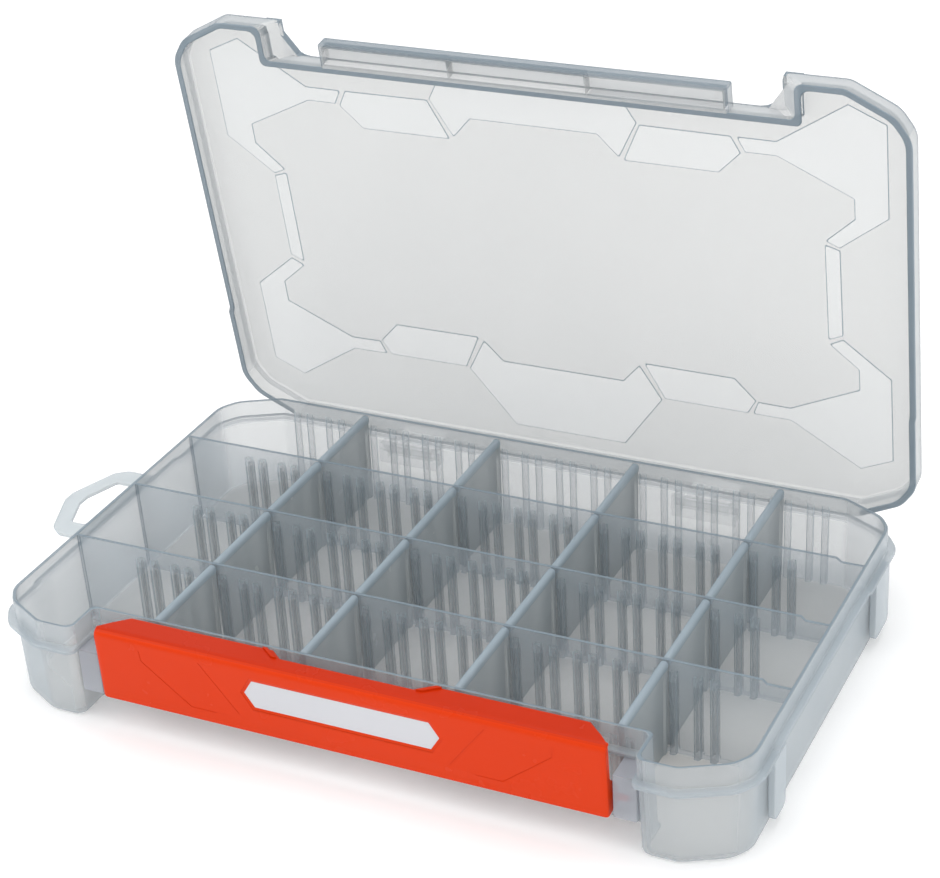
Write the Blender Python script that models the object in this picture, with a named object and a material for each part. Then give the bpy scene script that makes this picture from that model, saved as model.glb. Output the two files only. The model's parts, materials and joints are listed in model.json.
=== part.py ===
"""Fishing tackle box: a compartment tray with a hinged lid, a swinging front latch and lift-out dividers.

Units are metres, +Z is up, and the tray's underside stands on Z = 0. X runs along the box, and the latch faces -Y.
The lid stands open.
"""

import math

import bmesh
import bpy
from mathutils import Matrix, Vector

MM = 0.001
GAP = 0.3 * MM

# Tray: rim outline (outer faces) and heights
SIDE_X = 173.5 * MM
BACK_Y = 109.4 * MM
FRONT_WALL_Y = -91.6 * MM
LEG_FRONT_Y = -109.8 * MM
LEG_INNER_X = 130.0 * MM
CHAMFER_X = 148.0 * MM
CHAMFER_END_X = 167.5 * MM
CHAMFER_RUN_Y = 10.3 * MM
CORNER_RUN_Y = 19.4 * MM
STEP_FRONT_Y = -70.0 * MM
STEP_REAR_Y = 50.0 * MM
STEP_RUN = 2.0 * MM
STEP_RISE = 1.6 * MM
OUTLINE_RADII_MM = (3, 4, 8, 14, 14, 0, 0, 0, 0, 14, 14, 8)
RIM_Z = 47.5 * MM
WALL = 1.6 * MM
FLOOR_TOP_Z = 1.8 * MM
FLANGE_Z = 35.4 * MM
FLANGE_THICKNESS = 2.0 * MM
FLANGE_OUT = 3.5 * MM
DRAFT_TOP = 0.4 * MM
DRAFT_BOTTOM = 1.2 * MM
BASE_EDGE = 2.8 * MM
FLOOR_EDGE = 0.8 * MM
FOOT_WALL = 1.4 * MM

# Pads on the tray's sides, under the flange
PAD_OUT_X = 176.4 * MM
PAD_FRONT_Y = (-76.0 * MM, -62.0 * MM)
PAD_REAR_Y = (62.0 * MM, 82.0 * MM)
PAD_BOTTOM_Z = 5.0 * MM
PAD_CORNER = 2.5 * MM

# Compartments
ROWS = 4
ROW_CLEAR = 48.4 * MM
PARTITION_THICKNESS = 1.4 * MM
ROW_PITCH = ROW_CLEAR + PARTITION_THICKNESS
INNER_CENTRE_Y = (FRONT_WALL_Y + BACK_Y) / 2
SLOT_PITCH = 18.0 * MM
SLOTS = 16
FRONT_SLOTS = range(1, SLOTS - 1)
POINTS_PER_SLOT = 8
RIB_WIDTH = 3.4 * MM
RIB_DEPTH = 1.9 * MM
RIB_CENTRE = 3.6 * MM
RIB_SHOULDER_Z = 38.5 * MM
RIB_TIP_Z = 41.5 * MM
PARTITION_NOTCH = 1.8 * MM
PARTITION_NOTCH_X = (159.0 * MM, 161.0 * MM)

# Dividers stand in slots 3, 7, 11 and 15 of each row, counted from the left
DIVIDER_SLOTS = (2, 6, 10, 14)
DIVIDER_TOP_Z = 47.3 * MM
BLADE_THICKNESS = 1.2 * MM
RAIL_WIDTH = 3.4 * MM
RAIL_HEIGHT = 3.2 * MM
RAIL_ROUNDING = 1.2 * MM
RAIL_SHOULDER = 0.4 * MM
RAIL_SLOPE = 0.8 * MM
BEAD_WIDTH = 2.8 * MM
BEAD_LENGTH = 3.0 * MM
DIVIDER_END_GAP = 0.4 * MM
DIVIDER_TAPER = 1.4 * MM

# Lid, in its closed position
LID_OPEN_DEG = 80.4
LID_CLEARANCE = 0.8 * MM
LID_WALL = 2.3 * MM
LID_LIP_Z = 38.0 * MM
LID_CEILING_Z = 48.6 * MM
LID_TOP_Z = 50.4 * MM
LID_EDGE = 1.3 * MM
LID_NOTCH_TOP_X = 122.6 * MM
HINGE_Y = 113.2 * MM
HINGE_Z = 27.0 * MM
HINGE_X = 78.0 * MM
HINGE_WIDTH = 32.0 * MM
HINGE_LUG_WIDTH = 4.0 * MM
HINGE_LUG_HALF = 4.0 * MM
HINGE_LUG_ROOT_Y = 109.6 * MM
HINGE_PLATE_Y = (109.3 * MM, 110.1 * MM)
HINGE_PLATE_HALF = 6.0 * MM
STRAP_THICKNESS = 2.0 * MM
STRAP_FOOT_Z = 27.5 * MM
STRAP_TOP_Z = 46.0 * MM
BARREL_RADIUS = 2.8 * MM
PIN_RADIUS = 1.4 * MM
BORE_RADIUS = 1.7 * MM

# Catch bar on the lid's front
CATCH_HALF = 97.5 * MM
CATCH_FRONT_Y = -107.4 * MM
CATCH_TOP_Z = 46.8 * MM
CATCH_BOTTOM_Z = 39.6 * MM
CATCH_WALL = 1.6 * MM

# Latch, upright
LATCH_HALF = 118.5 * MM
LATCH_BOTTOM_Z = 14.2 * MM
LATCH_TOP_Z = 50.3 * MM
LATCH_FRONT_BOTTOM_Y = -108.6 * MM
LATCH_FRONT_TOP_Y = -110.2 * MM
LATCH_SHELF_Y = -96.5 * MM
LATCH_THICKNESS = 2.0 * MM
SHELF_THICKNESS = 2.4 * MM
LATCH_EDGE_RADIUS = 4.0 * MM
LATCH_PIVOT_Y = -100.5 * MM
LATCH_PIVOT_Z = 20.0 * MM
LATCH_CORNER_RADIUS = 1.5 * MM
CHEEK_CHAMFER = 3.0 * MM
SHELF_CORNER_X = (111.0 * MM, 118.6 * MM)
SHELF_CORNER_DEPTH = 9.0 * MM
SHELF_NOTCH_X = (31.0 * MM, 38.0 * MM)
SHELF_NOTCH_DEPTH = 5.0 * MM
BRACKET_INNER_X = 119.7 * MM
BRACKET_FRONT_Y = -107.0 * MM
BRACKET_CLEARANCE = 0.8 * MM
STUB_REACH = 4.0 * MM
LABEL_HALF = 41.2 * MM
LABEL_TIP = 45.6 * MM
LABEL_Z = 34.9 * MM
LABEL_HALF_HEIGHT = 6.8 * MM
LABEL_RECESS = 1.2 * MM
LABEL_FACE = 0.5 * MM
LABEL_BACK = 0.9 * MM

# Hang loop on the left of the flange: corners (x, y) of the rear half, and the front half mirrors it
LOOP_ROOT_X = -(SIDE_X + FLANGE_OUT + GAP)
LOOP_OUTER_HALF = ((-190.5 * MM, 31.0 * MM), (-196.5 * MM, 26.5 * MM), (-205.3 * MM, 3.5 * MM))
LOOP_OUTER_RADII_MM = (5, 4, 5)
LOOP_EYE_HALF = ((-182.5 * MM, 20.0 * MM), (-190.5 * MM, 20.0 * MM), (-196.8 * MM, 3.0 * MM))
LOOP_EYE_RADIUS = 2.0 * MM
LOOP_Z = 36.9 * MM
LOOP_THICKNESS = 2.0 * MM


# ---------------------------------------------------------------- helpers

def clear_scene():
    for obj in list(bpy.data.objects):
        bpy.data.objects.remove(obj, do_unlink=True)


def material(name, colour, roughness):
    mat = bpy.data.materials.new(name)
    mat.use_nodes = True
    shader = mat.node_tree.nodes["Principled BSDF"]
    shader.inputs["Base Color"].default_value = (*colour, 1.0)
    shader.inputs["Roughness"].default_value = roughness
    shader.inputs["Metallic"].default_value = 0.0
    mat.diffuse_color = (*colour, 1.0)
    return mat


def add_object(name, bm, mat, smooth_deg=None):
    bmesh.ops.remove_doubles(bm, verts=bm.verts, dist=0.01 * MM)
    bmesh.ops.recalc_face_normals(bm, faces=bm.faces)
    mesh = bpy.data.meshes.new(name)
    bm.to_mesh(mesh)
    bm.free()
    mesh.materials.append(mat)
    if smooth_deg:
        mesh.shade_smooth()
        mesh.set_sharp_from_angle(angle=math.radians(smooth_deg))
    obj = bpy.data.objects.new(name, mesh)
    bpy.context.scene.collection.objects.link(obj)
    return obj


def cutter(name, bm):
    bmesh.ops.recalc_face_normals(bm, faces=bm.faces)
    mesh = bpy.data.meshes.new(name)
    bm.to_mesh(mesh)
    bm.free()
    obj = bpy.data.objects.new(name, mesh)
    bpy.context.scene.collection.objects.link(obj)
    obj.hide_render = True
    obj.display_type = "WIRE"
    return obj


def combine(obj, tool, operation):
    mod = obj.modifiers.new(operation.title(), "BOOLEAN")
    mod.operation = operation
    mod.object = tool
    mod.solver = "EXACT"


def put_on_pivot(obj, pivot):
    """Moves the object's origin to the pivot without moving the shape."""
    obj.data.transform(Matrix.Translation(-pivot))
    obj.location = pivot


def offset_outline(points, inset):
    """Moves every edge of a counter-clockwise outline inwards by inset, with mitred corners."""
    moved = []
    for i, here in enumerate(points):
        before = (here - points[i - 1]).normalized()
        after = (points[(i + 1) % len(points)] - here).normalized()
        normal_in = Vector((-before.y, before.x))
        normal_out = Vector((-after.y, after.x))
        mitre = (normal_in + normal_out).normalized()
        moved.append(here + mitre * inset / mitre.dot(normal_in))
    return moved


def round_corners(points, radii, steps=3):
    """Replaces each corner that has a radius with an arc of steps + 1 points."""
    rounded = []
    for i, here in enumerate(points):
        radius = radii[i]
        if not radius:
            rounded.append(here)
            continue
        to_before = (points[i - 1] - here).normalized()
        to_after = (points[(i + 1) % len(points)] - here).normalized()
        half = to_before.angle(to_after) / 2
        reach = radius / math.tan(half)
        centre = here + (to_before + to_after).normalized() * radius / math.sin(half)
        first = here + to_before * reach - centre
        last = here + to_after * reach - centre
        turn = first.angle_signed(last)
        for k in range(steps + 1):
            rounded.append(centre + Matrix.Rotation(-turn * k / steps, 2) @ first)
    return rounded


def ring(bm, points, z):
    """Adds a closed ring of vertices. z is a height, or a function of the point."""
    return [bm.verts.new((p.x, p.y, z(p) if callable(z) else z)) for p in points]


def skin(bm, lower, upper):
    """Joins two rings of equal length with quads."""
    count = len(lower)
    for i in range(count):
        j = (i + 1) % count
        bm.faces.new((lower[i], lower[j], upper[j], upper[i]))


def skin_ribs(bm, ribbed, plain, rib_points):
    """Joins a ribbed ring to a plain one. rib_points maps a plain edge's index to its number of rib points."""
    at = 0
    count = len(plain)
    for i in range(count):
        extra = rib_points.get(i, 0)
        along = [ribbed[(at + k) % len(ribbed)] for k in range(extra + 2)]
        bm.faces.new(along + [plain[(i + 1) % count], plain[i]])
        at += extra + 1


def loft(rings, cap_first=True, cap_last=True, bm=None):
    """Skins a stack of (outline, height) rings and returns the mesh and its rings of vertices."""
    bm = bm or bmesh.new()
    made = [ring(bm, points, z) for points, z in rings]
    for lower, upper in zip(made, made[1:]):
        skin(bm, lower, upper)
    if cap_first:
        bm.faces.new(reversed(made[0]))
    if cap_last:
        bm.faces.new(made[-1])
    return bm, made


def box(low, high):
    bm = bmesh.new()
    bmesh.ops.create_cube(bm, size=1.0)
    size = Vector(high) - Vector(low)
    centre = (Vector(high) + Vector(low)) / 2
    bmesh.ops.scale(bm, vec=size, verts=bm.verts)
    bmesh.ops.translate(bm, vec=centre, verts=bm.verts)
    return bm


def cylinder_x(radius, x_low, x_high, y, z, segments=16):
    bm = bmesh.new()
    turn = Matrix.Translation(((x_low + x_high) / 2, y, z)) @ Matrix.Rotation(math.pi / 2, 4, "Y")
    bmesh.ops.create_cone(
        bm, cap_ends=True, segments=segments, radius1=radius, radius2=radius, depth=x_high - x_low, matrix=turn
    )
    return bm


def prism_x(profile, x_low, x_high):
    """Extrudes a closed outline of (y, z) pairs along X."""
    bm = bmesh.new()
    near = [bm.verts.new((x_low, y, z)) for y, z in profile]
    far = [bm.verts.new((x_high, y, z)) for y, z in profile]
    skin(bm, near, far)
    bm.faces.new(reversed(near))
    bm.faces.new(far)
    return bm


def prism_z(points, z_low, z_high):
    return loft([([Vector(p) for p in points], z_low), ([Vector(p) for p in points], z_high)])[0]


# ---------------------------------------------------------------- outlines

def half_outline(leg_x):
    """The right half of the box outline, from the front wall round to the back wall."""
    points = [
        (leg_x, FRONT_WALL_Y),
        (leg_x, LEG_FRONT_Y),
        (CHAMFER_X, LEG_FRONT_Y),
        (CHAMFER_END_X, LEG_FRONT_Y + CHAMFER_RUN_Y),
        (SIDE_X, LEG_FRONT_Y + CORNER_RUN_Y),
        (SIDE_X, STEP_FRONT_Y - STEP_RUN),
        (SIDE_X, STEP_FRONT_Y),
        (SIDE_X, STEP_REAR_Y),
        (SIDE_X, STEP_REAR_Y + STEP_RUN),
        (SIDE_X, BACK_Y - CORNER_RUN_Y),
        (CHAMFER_END_X, BACK_Y - CHAMFER_RUN_Y),
        (CHAMFER_X, BACK_Y),
    ]
    return points


def outline(inset, leg_x=LEG_INNER_X):
    """The whole box outline, counter-clockwise from above, moved inwards by inset."""
    points = half_outline(leg_x)
    whole = [Vector(p) for p in points] + [Vector((-x, y)) for x, y in reversed(points)]
    radii = [r * MM for r in OUTLINE_RADII_MM + OUTLINE_RADII_MM[::-1]]
    return round_corners(offset_outline(whole, inset), radii)


def raised(z):
    """A height that steps up along the middle of both sides."""
    def height(point):
        on_side = abs(point.x) > CHAMFER_END_X
        in_step = STEP_FRONT_Y - 0.1 * STEP_RUN < point.y < STEP_REAR_Y + 0.1 * STEP_RUN
        return z + STEP_RISE if on_side and in_step else z
    return height


def slot_x(index):
    return (index - (SLOTS - 1) / 2) * SLOT_PITCH


def comb(direction, y, depth, slots=range(SLOTS)):
    """Points of a ribbed edge along X, without its ends. depth is how far the ribs stand off y."""
    centres = [slot_x(i) + side * RIB_CENTRE for i in slots for side in (-1, 1)]
    points = []
    for centre in sorted(centres, reverse=direction < 0):
        start = centre - direction * RIB_WIDTH / 2
        end = centre + direction * RIB_WIDTH / 2
        points += [Vector((start, y)), Vector((start, y + depth)), Vector((end, y + depth)), Vector((end, y))]
    return points


def ribbed_inner(inset, depth):
    """The tray's inner outline with slot ribs on its front and back walls."""
    plain = outline(inset)
    half = len(plain) // 2
    back = comb(-1, BACK_Y - inset, -depth)
    front = comb(1, FRONT_WALL_Y + inset, depth, FRONT_SLOTS)
    return plain[:half] + back + plain[half:] + front


# ---------------------------------------------------------------- tray

def make_tray(mat):
    flange_top = FLANGE_Z + FLANGE_THICKNESS
    bm, outside = loft(
        [
            (outline(DRAFT_BOTTOM + BASE_EDGE), 0.0),
            (outline(DRAFT_BOTTOM), BASE_EDGE),
            (outline(DRAFT_TOP), raised(FLANGE_Z)),
            (outline(-FLANGE_OUT), raised(FLANGE_Z)),
            (outline(-FLANGE_OUT), raised(flange_top)),
            (outline(0.0), raised(flange_top)),
            (outline(0.0), RIM_Z),
            (outline(WALL), RIM_Z),
        ],
        cap_last=False,
    )
    foot = DRAFT_BOTTOM + FOOT_WALL
    _, inside = loft(
        [
            (ribbed_inner(WALL, 0.0), RIB_TIP_Z),
            (ribbed_inner(WALL, RIB_DEPTH), RIB_SHOULDER_Z),
            (ribbed_inner(foot, RIB_DEPTH), FLOOR_TOP_Z + FLOOR_EDGE),
            (ribbed_inner(foot + FLOOR_EDGE, RIB_DEPTH), FLOOR_TOP_Z),
        ],
        cap_first=False,
        bm=bm,
    )
    plain = outside[-1]
    back_edge, front_edge = len(plain) // 2 - 1, len(plain) - 1
    rib_points = {back_edge: POINTS_PER_SLOT * SLOTS, front_edge: POINTS_PER_SLOT * len(FRONT_SLOTS)}
    skin_ribs(bm, inside[0], plain, rib_points)
    return add_object("tray", bm, mat)


def make_side_pad(name, side, y_range, mat):
    """An upright pad on the tray's side wall, with its lower corners cut off."""
    y_low, y_high = y_range
    profile = [
        (y_low, FLANGE_Z - GAP),
        (y_low, PAD_BOTTOM_Z + PAD_CORNER),
        (y_low + PAD_CORNER, PAD_BOTTOM_Z),
        (y_high - PAD_CORNER, PAD_BOTTOM_Z),
        (y_high, PAD_BOTTOM_Z + PAD_CORNER),
        (y_high, FLANGE_Z - GAP),
    ]
    reach = sorted((side * (SIDE_X - DRAFT_TOP + GAP), side * PAD_OUT_X))
    return add_object(name, prism_x(profile, *reach), mat)


def make_partition(name, y, mat):
    """A long wall across the tray, with slot ribs on both faces and a stepped-down right end."""
    top_half = SIDE_X - WALL - GAP
    foot_half = SIDE_X - DRAFT_BOTTOM - FOOT_WALL - FLOOR_EDGE - GAP
    half_thickness = PARTITION_THICKNESS / 2

    def plain_side(half_length):
        return [Vector((x, y - half_thickness)) for x in (-half_length, *PARTITION_NOTCH_X, half_length)]

    def far_side(half_length):
        return [Vector((p.x, y + half_thickness)) for p in reversed(plain_side(half_length))]

    def ribbed(half_length, depth):
        near, far = plain_side(half_length), far_side(half_length)
        near_ribs = comb(1, y - half_thickness, -depth)
        far_ribs = comb(-1, y + half_thickness, depth)
        return near[:1] + near_ribs + near[1:] + far[:-1] + far_ribs + far[-1:]

    def top_height(point):
        return RIM_Z - GAP - (PARTITION_NOTCH if point.x > PARTITION_NOTCH_X[0] + GAP else 0.0)

    bm, ribs = loft(
        [
            (ribbed(foot_half, RIB_DEPTH), FLOOR_TOP_Z + GAP),
            (ribbed(top_half, RIB_DEPTH), RIB_SHOULDER_Z),
            (ribbed(top_half, 0.0), RIB_TIP_Z),
        ],
        cap_last=False,
    )
    top = ring(bm, plain_side(top_half) + far_side(top_half), top_height)
    rib_points = POINTS_PER_SLOT * SLOTS
    skin_ribs(bm, ribs[-1], top, {0: rib_points, len(top) - 2: rib_points})
    for i in range(len(top) // 2 - 1):
        bm.faces.new((top[i], top[i + 1], top[-2 - i], top[-1 - i]))
    return add_object(name, bm, mat)


def make_latch_bracket(name, side, mat):
    """A block beside a leg, bored for the latch's pivot stub."""
    low_x, high_x = BRACKET_INNER_X, LEG_INNER_X - BRACKET_CLEARANCE
    low = (min(side * low_x, side * high_x), BRACKET_FRONT_Y, LATCH_BOTTOM_Z)
    high = (max(side * low_x, side * high_x), FRONT_WALL_Y - BRACKET_CLEARANCE, FLANGE_Z - GAP)
    bracket = add_object(name, box(low, high), mat)
    reach = sorted((side * (low_x - MM), side * (low_x + STUB_REACH + 2 * MM)))
    bore = cutter(name + "_bore", cylinder_x(BORE_RADIUS, *reach, LATCH_PIVOT_Y, LATCH_PIVOT_Z))
    combine(bracket, bore, "DIFFERENCE")
    return bracket


def make_hinge_bracket(name, x, mat):
    """A U-shaped bracket on the rear wall that holds one hinge pin."""
    plate = box(
        (x - HINGE_WIDTH / 2, HINGE_PLATE_Y[0], HINGE_Z - HINGE_PLATE_HALF),
        (x + HINGE_WIDTH / 2, HINGE_PLATE_Y[1], HINGE_Z + HINGE_PLATE_HALF),
    )
    bracket = add_object(name, plate, mat)
    for side in (-1, 1):
        outer = x + side * HINGE_WIDTH / 2
        inner = outer - side * HINGE_LUG_WIDTH
        lug = box(
            (min(outer, inner), HINGE_LUG_ROOT_Y, HINGE_Z - HINGE_LUG_HALF),
            (max(outer, inner), HINGE_Y + HINGE_LUG_HALF, HINGE_Z + HINGE_LUG_HALF),
        )
        combine(bracket, cutter(f"{name}_lug_{side}", lug), "UNION")
    reach = HINGE_WIDTH / 2 + MM
    bore = cylinder_x(BORE_RADIUS, x - reach, x + reach, HINGE_Y, HINGE_Z)
    combine(bracket, cutter(name + "_bore", bore), "DIFFERENCE")
    return bracket


def make_hinge_pin(name, x, mat):
    half = HINGE_WIDTH / 2
    return add_object(name, cylinder_x(PIN_RADIUS, x - half, x + half, HINGE_Y, HINGE_Z), mat, smooth_deg=40)


def make_hang_loop(mat):
    """A flat loop that stands out of the flange's left edge."""
    def mirrored(half):
        return [Vector(p) for p in half] + [Vector((x, -y)) for x, y in reversed(half)]

    outer = mirrored(((LOOP_ROOT_X, LOOP_OUTER_HALF[0][1]), *LOOP_OUTER_HALF))
    radii = [r * MM for r in (0, *LOOP_OUTER_RADII_MM, *LOOP_OUTER_RADII_MM[::-1], 0)]
    rim = round_corners(outer, radii)
    loop = add_object("hang_loop", loft([(rim, z) for z in (LOOP_Z, LOOP_Z + LOOP_THICKNESS)])[0], mat)
    eye = round_corners(mirrored(LOOP_EYE_HALF), [LOOP_EYE_RADIUS] * (2 * len(LOOP_EYE_HALF)))
    opening = loft([(eye, LOOP_Z - MM), (eye, LOOP_Z + LOOP_THICKNESS + MM)])[0]
    combine(loop, cutter("hang_loop_eye", opening), "DIFFERENCE")
    return loop


# ---------------------------------------------------------------- dividers

def divider_mesh(mat):
    """A tapered blade along Y with a rounded rail on top and a bead at each end, its foot at the origin."""
    top_half = ROW_CLEAR / 2 - DIVIDER_END_GAP
    top = DIVIDER_TOP_Z - FLOOR_TOP_Z - GAP
    rail_low = top - RAIL_HEIGHT
    blade = BLADE_THICKNESS / 2
    rail = RAIL_WIDTH / 2
    bead = BEAD_WIDTH / 2

    def section(bead_half, blade_half, half_length):
        bead_y = half_length - BEAD_LENGTH
        right = [(bead_half, -half_length), (bead_half, -bead_y), (blade_half, -bead_y), (blade_half, bead_y)]
        right += [(bead_half, bead_y), (bead_half, half_length)]
        return [Vector(p) for p in right] + [Vector((-x, y)) for x, y in reversed(right)]

    bm, _ = loft(
        [
            (section(bead, blade, top_half - DIVIDER_TAPER), 0.0),
            (section(bead, blade, top_half), rail_low - RAIL_SLOPE),
            (section(rail, rail, top_half), rail_low),
            (section(rail, rail, top_half), top - RAIL_ROUNDING),
            (section(rail - RAIL_SHOULDER, rail - RAIL_SHOULDER, top_half), top - RAIL_SHOULDER),
            (section(rail - RAIL_ROUNDING, rail - RAIL_ROUNDING, top_half), top),
        ]
    )
    bmesh.ops.remove_doubles(bm, verts=bm.verts, dist=0.01 * MM)
    bmesh.ops.recalc_face_normals(bm, faces=bm.faces)
    mesh = bpy.data.meshes.new("divider")
    bm.to_mesh(mesh)
    bm.free()
    mesh.materials.append(mat)
    return mesh


def make_dividers(mat):
    mesh = divider_mesh(mat)
    for row in range(ROWS):
        y = INNER_CENTRE_Y + (row - (ROWS - 1) / 2) * ROW_PITCH
        for column, slot in enumerate(DIVIDER_SLOTS):
            obj = bpy.data.objects.new(f"divider_row{row + 1}_col{column + 1}", mesh)
            obj.location = (slot_x(slot), y, FLOOR_TOP_Z + GAP)
            bpy.context.scene.collection.objects.link(obj)


# ---------------------------------------------------------------- lid

def lid_pivot():
    pivot = bpy.data.objects.new("lid_pivot", None)
    pivot.location = (0.0, HINGE_Y, HINGE_Z)
    pivot.rotation_euler = (-math.radians(LID_OPEN_DEG), 0.0, 0.0)
    bpy.context.scene.collection.objects.link(pivot)
    return pivot


def hang_on(pivot, obj):
    """Parents a piece that is drawn in the closed position to the lid's pivot."""
    put = Matrix.Translation(-Vector(pivot.location))
    obj.data.transform(put)
    obj.parent = pivot


def make_lid(pivot, mat):
    inner = -LID_CLEARANCE
    outer = inner - LID_WALL
    bm, _ = loft(
        [
            (outline(inner, LID_NOTCH_TOP_X + LID_WALL), LID_CEILING_Z),
            (outline(inner), raised(LID_LIP_Z)),
            (outline(outer), raised(LID_LIP_Z)),
            (outline(outer, LID_NOTCH_TOP_X), LID_TOP_Z - LID_EDGE),
            (outline(outer + LID_EDGE, LID_NOTCH_TOP_X), LID_TOP_Z),
        ]
    )
    lid = add_object("lid", bm, mat)
    hang_on(pivot, lid)
    return lid


def make_catch_bar(pivot, mat):
    """A long box on the lid's front wall, open below, with two cross ribs."""
    back_y = FRONT_WALL_Y - LID_CLEARANCE - LID_WALL - GAP
    bar = add_object(
        "catch_bar",
        box((-CATCH_HALF, CATCH_FRONT_Y, CATCH_BOTTOM_Z), (CATCH_HALF, back_y, CATCH_TOP_Z)),
        mat,
    )
    bay = (2 * CATCH_HALF - 4 * CATCH_WALL) / 3
    for i in range(3):
        low_x = -CATCH_HALF + CATCH_WALL + i * (bay + CATCH_WALL)
        pocket = box(
            (low_x, CATCH_FRONT_Y + CATCH_WALL, CATCH_BOTTOM_Z - MM),
            (low_x + bay, back_y - CATCH_WALL, CATCH_TOP_Z - CATCH_WALL),
        )
        pocket_tool = cutter(f"catch_pocket_{i}", pocket)
        combine(bar, pocket_tool, "DIFFERENCE")
        hang_on(pivot, pocket_tool)
    hang_on(pivot, bar)
    return bar


def make_lid_lug(name, x, pivot, mat):
    """A strap on the lid's rear wall that ends in the hinge barrel."""
    half = HINGE_WIDTH / 2 - HINGE_LUG_WIDTH - GAP
    root_y = BACK_Y + LID_CLEARANCE + LID_WALL + GAP
    strap_y = BACK_Y + FLANGE_OUT + GAP
    strap_outer_y = strap_y + STRAP_THICKNESS
    root_z = LID_LIP_Z + GAP
    profile = [
        (strap_y, STRAP_FOOT_Z),
        (strap_outer_y, STRAP_FOOT_Z),
        (strap_outer_y, STRAP_TOP_Z),
        (root_y, STRAP_TOP_Z),
        (root_y, root_z),
        (strap_y, root_z),
    ]
    barrel = cylinder_x(BARREL_RADIUS, x - half, x + half, HINGE_Y, HINGE_Z, segments=20)
    lug = add_object(name, barrel, mat)
    strap_tool = cutter(name + "_strap", prism_x(profile, x - half, x + half))
    combine(lug, strap_tool, "UNION")
    reach = half + MM
    bore_tool = cutter(name + "_bore", cylinder_x(BORE_RADIUS, x - reach, x + reach, HINGE_Y, HINGE_Z))
    combine(lug, bore_tool, "DIFFERENCE")
    for piece in (lug, strap_tool, bore_tool):
        hang_on(pivot, piece)
    return lug


# ---------------------------------------------------------------- latch

def latch_profile():
    """The latch's cross-section in (y, z): a front plate that rolls over into a shelf."""
    outer_corner = Vector((LATCH_FRONT_TOP_Y, LATCH_TOP_Z))
    inner_z = LATCH_TOP_Z - SHELF_THICKNESS
    slope = (LATCH_FRONT_TOP_Y - LATCH_FRONT_BOTTOM_Y) / (LATCH_TOP_Z - LATCH_BOTTOM_Z)
    inner_corner = Vector((LATCH_FRONT_TOP_Y + LATCH_THICKNESS, inner_z))
    inner_foot_y = LATCH_FRONT_BOTTOM_Y + LATCH_THICKNESS
    points = [
        Vector((LATCH_FRONT_BOTTOM_Y, LATCH_BOTTOM_Z)),
        Vector((inner_foot_y, LATCH_BOTTOM_Z)),
        inner_corner - Vector((slope * LATCH_THICKNESS, 0.0)),
        Vector((LATCH_SHELF_Y, inner_z)),
        Vector((LATCH_SHELF_Y, LATCH_TOP_Z)),
        outer_corner,
    ]
    radii = [0, 0, LATCH_CORNER_RADIUS, 0, 0, LATCH_EDGE_RADIUS]
    return [tuple(p) for p in round_corners(points, radii, steps=4)]


def label_outline(grow):
    """The six corners of the label, in (x, z)."""
    half, tip, height = LABEL_HALF + grow / 2, LABEL_TIP + grow, LABEL_HALF_HEIGHT + grow
    return [(-tip, LABEL_Z), (-half, LABEL_Z - height), (half, LABEL_Z - height), (tip, LABEL_Z)] + [
        (half, LABEL_Z + height), (-half, LABEL_Z + height)
    ]


def label_prism(grow, depth_front, depth_back):
    """A hexagonal slab that follows the front plate's slope, between two depths behind its face."""
    slope = (LATCH_FRONT_TOP_Y - LATCH_FRONT_BOTTOM_Y) / (LATCH_TOP_Z - LATCH_BOTTOM_Z)
    bm = bmesh.new()
    layers = []
    for depth in (depth_front, depth_back):
        layer = []
        for x, z in label_outline(grow):
            face_y = LATCH_FRONT_BOTTOM_Y + slope * (z - LATCH_BOTTOM_Z)
            layer.append(bm.verts.new((x, face_y + depth, z)))
        layers.append(layer)
    skin(bm, *layers)
    bm.faces.new(reversed(layers[0]))
    bm.faces.new(layers[1])
    return bm


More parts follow.
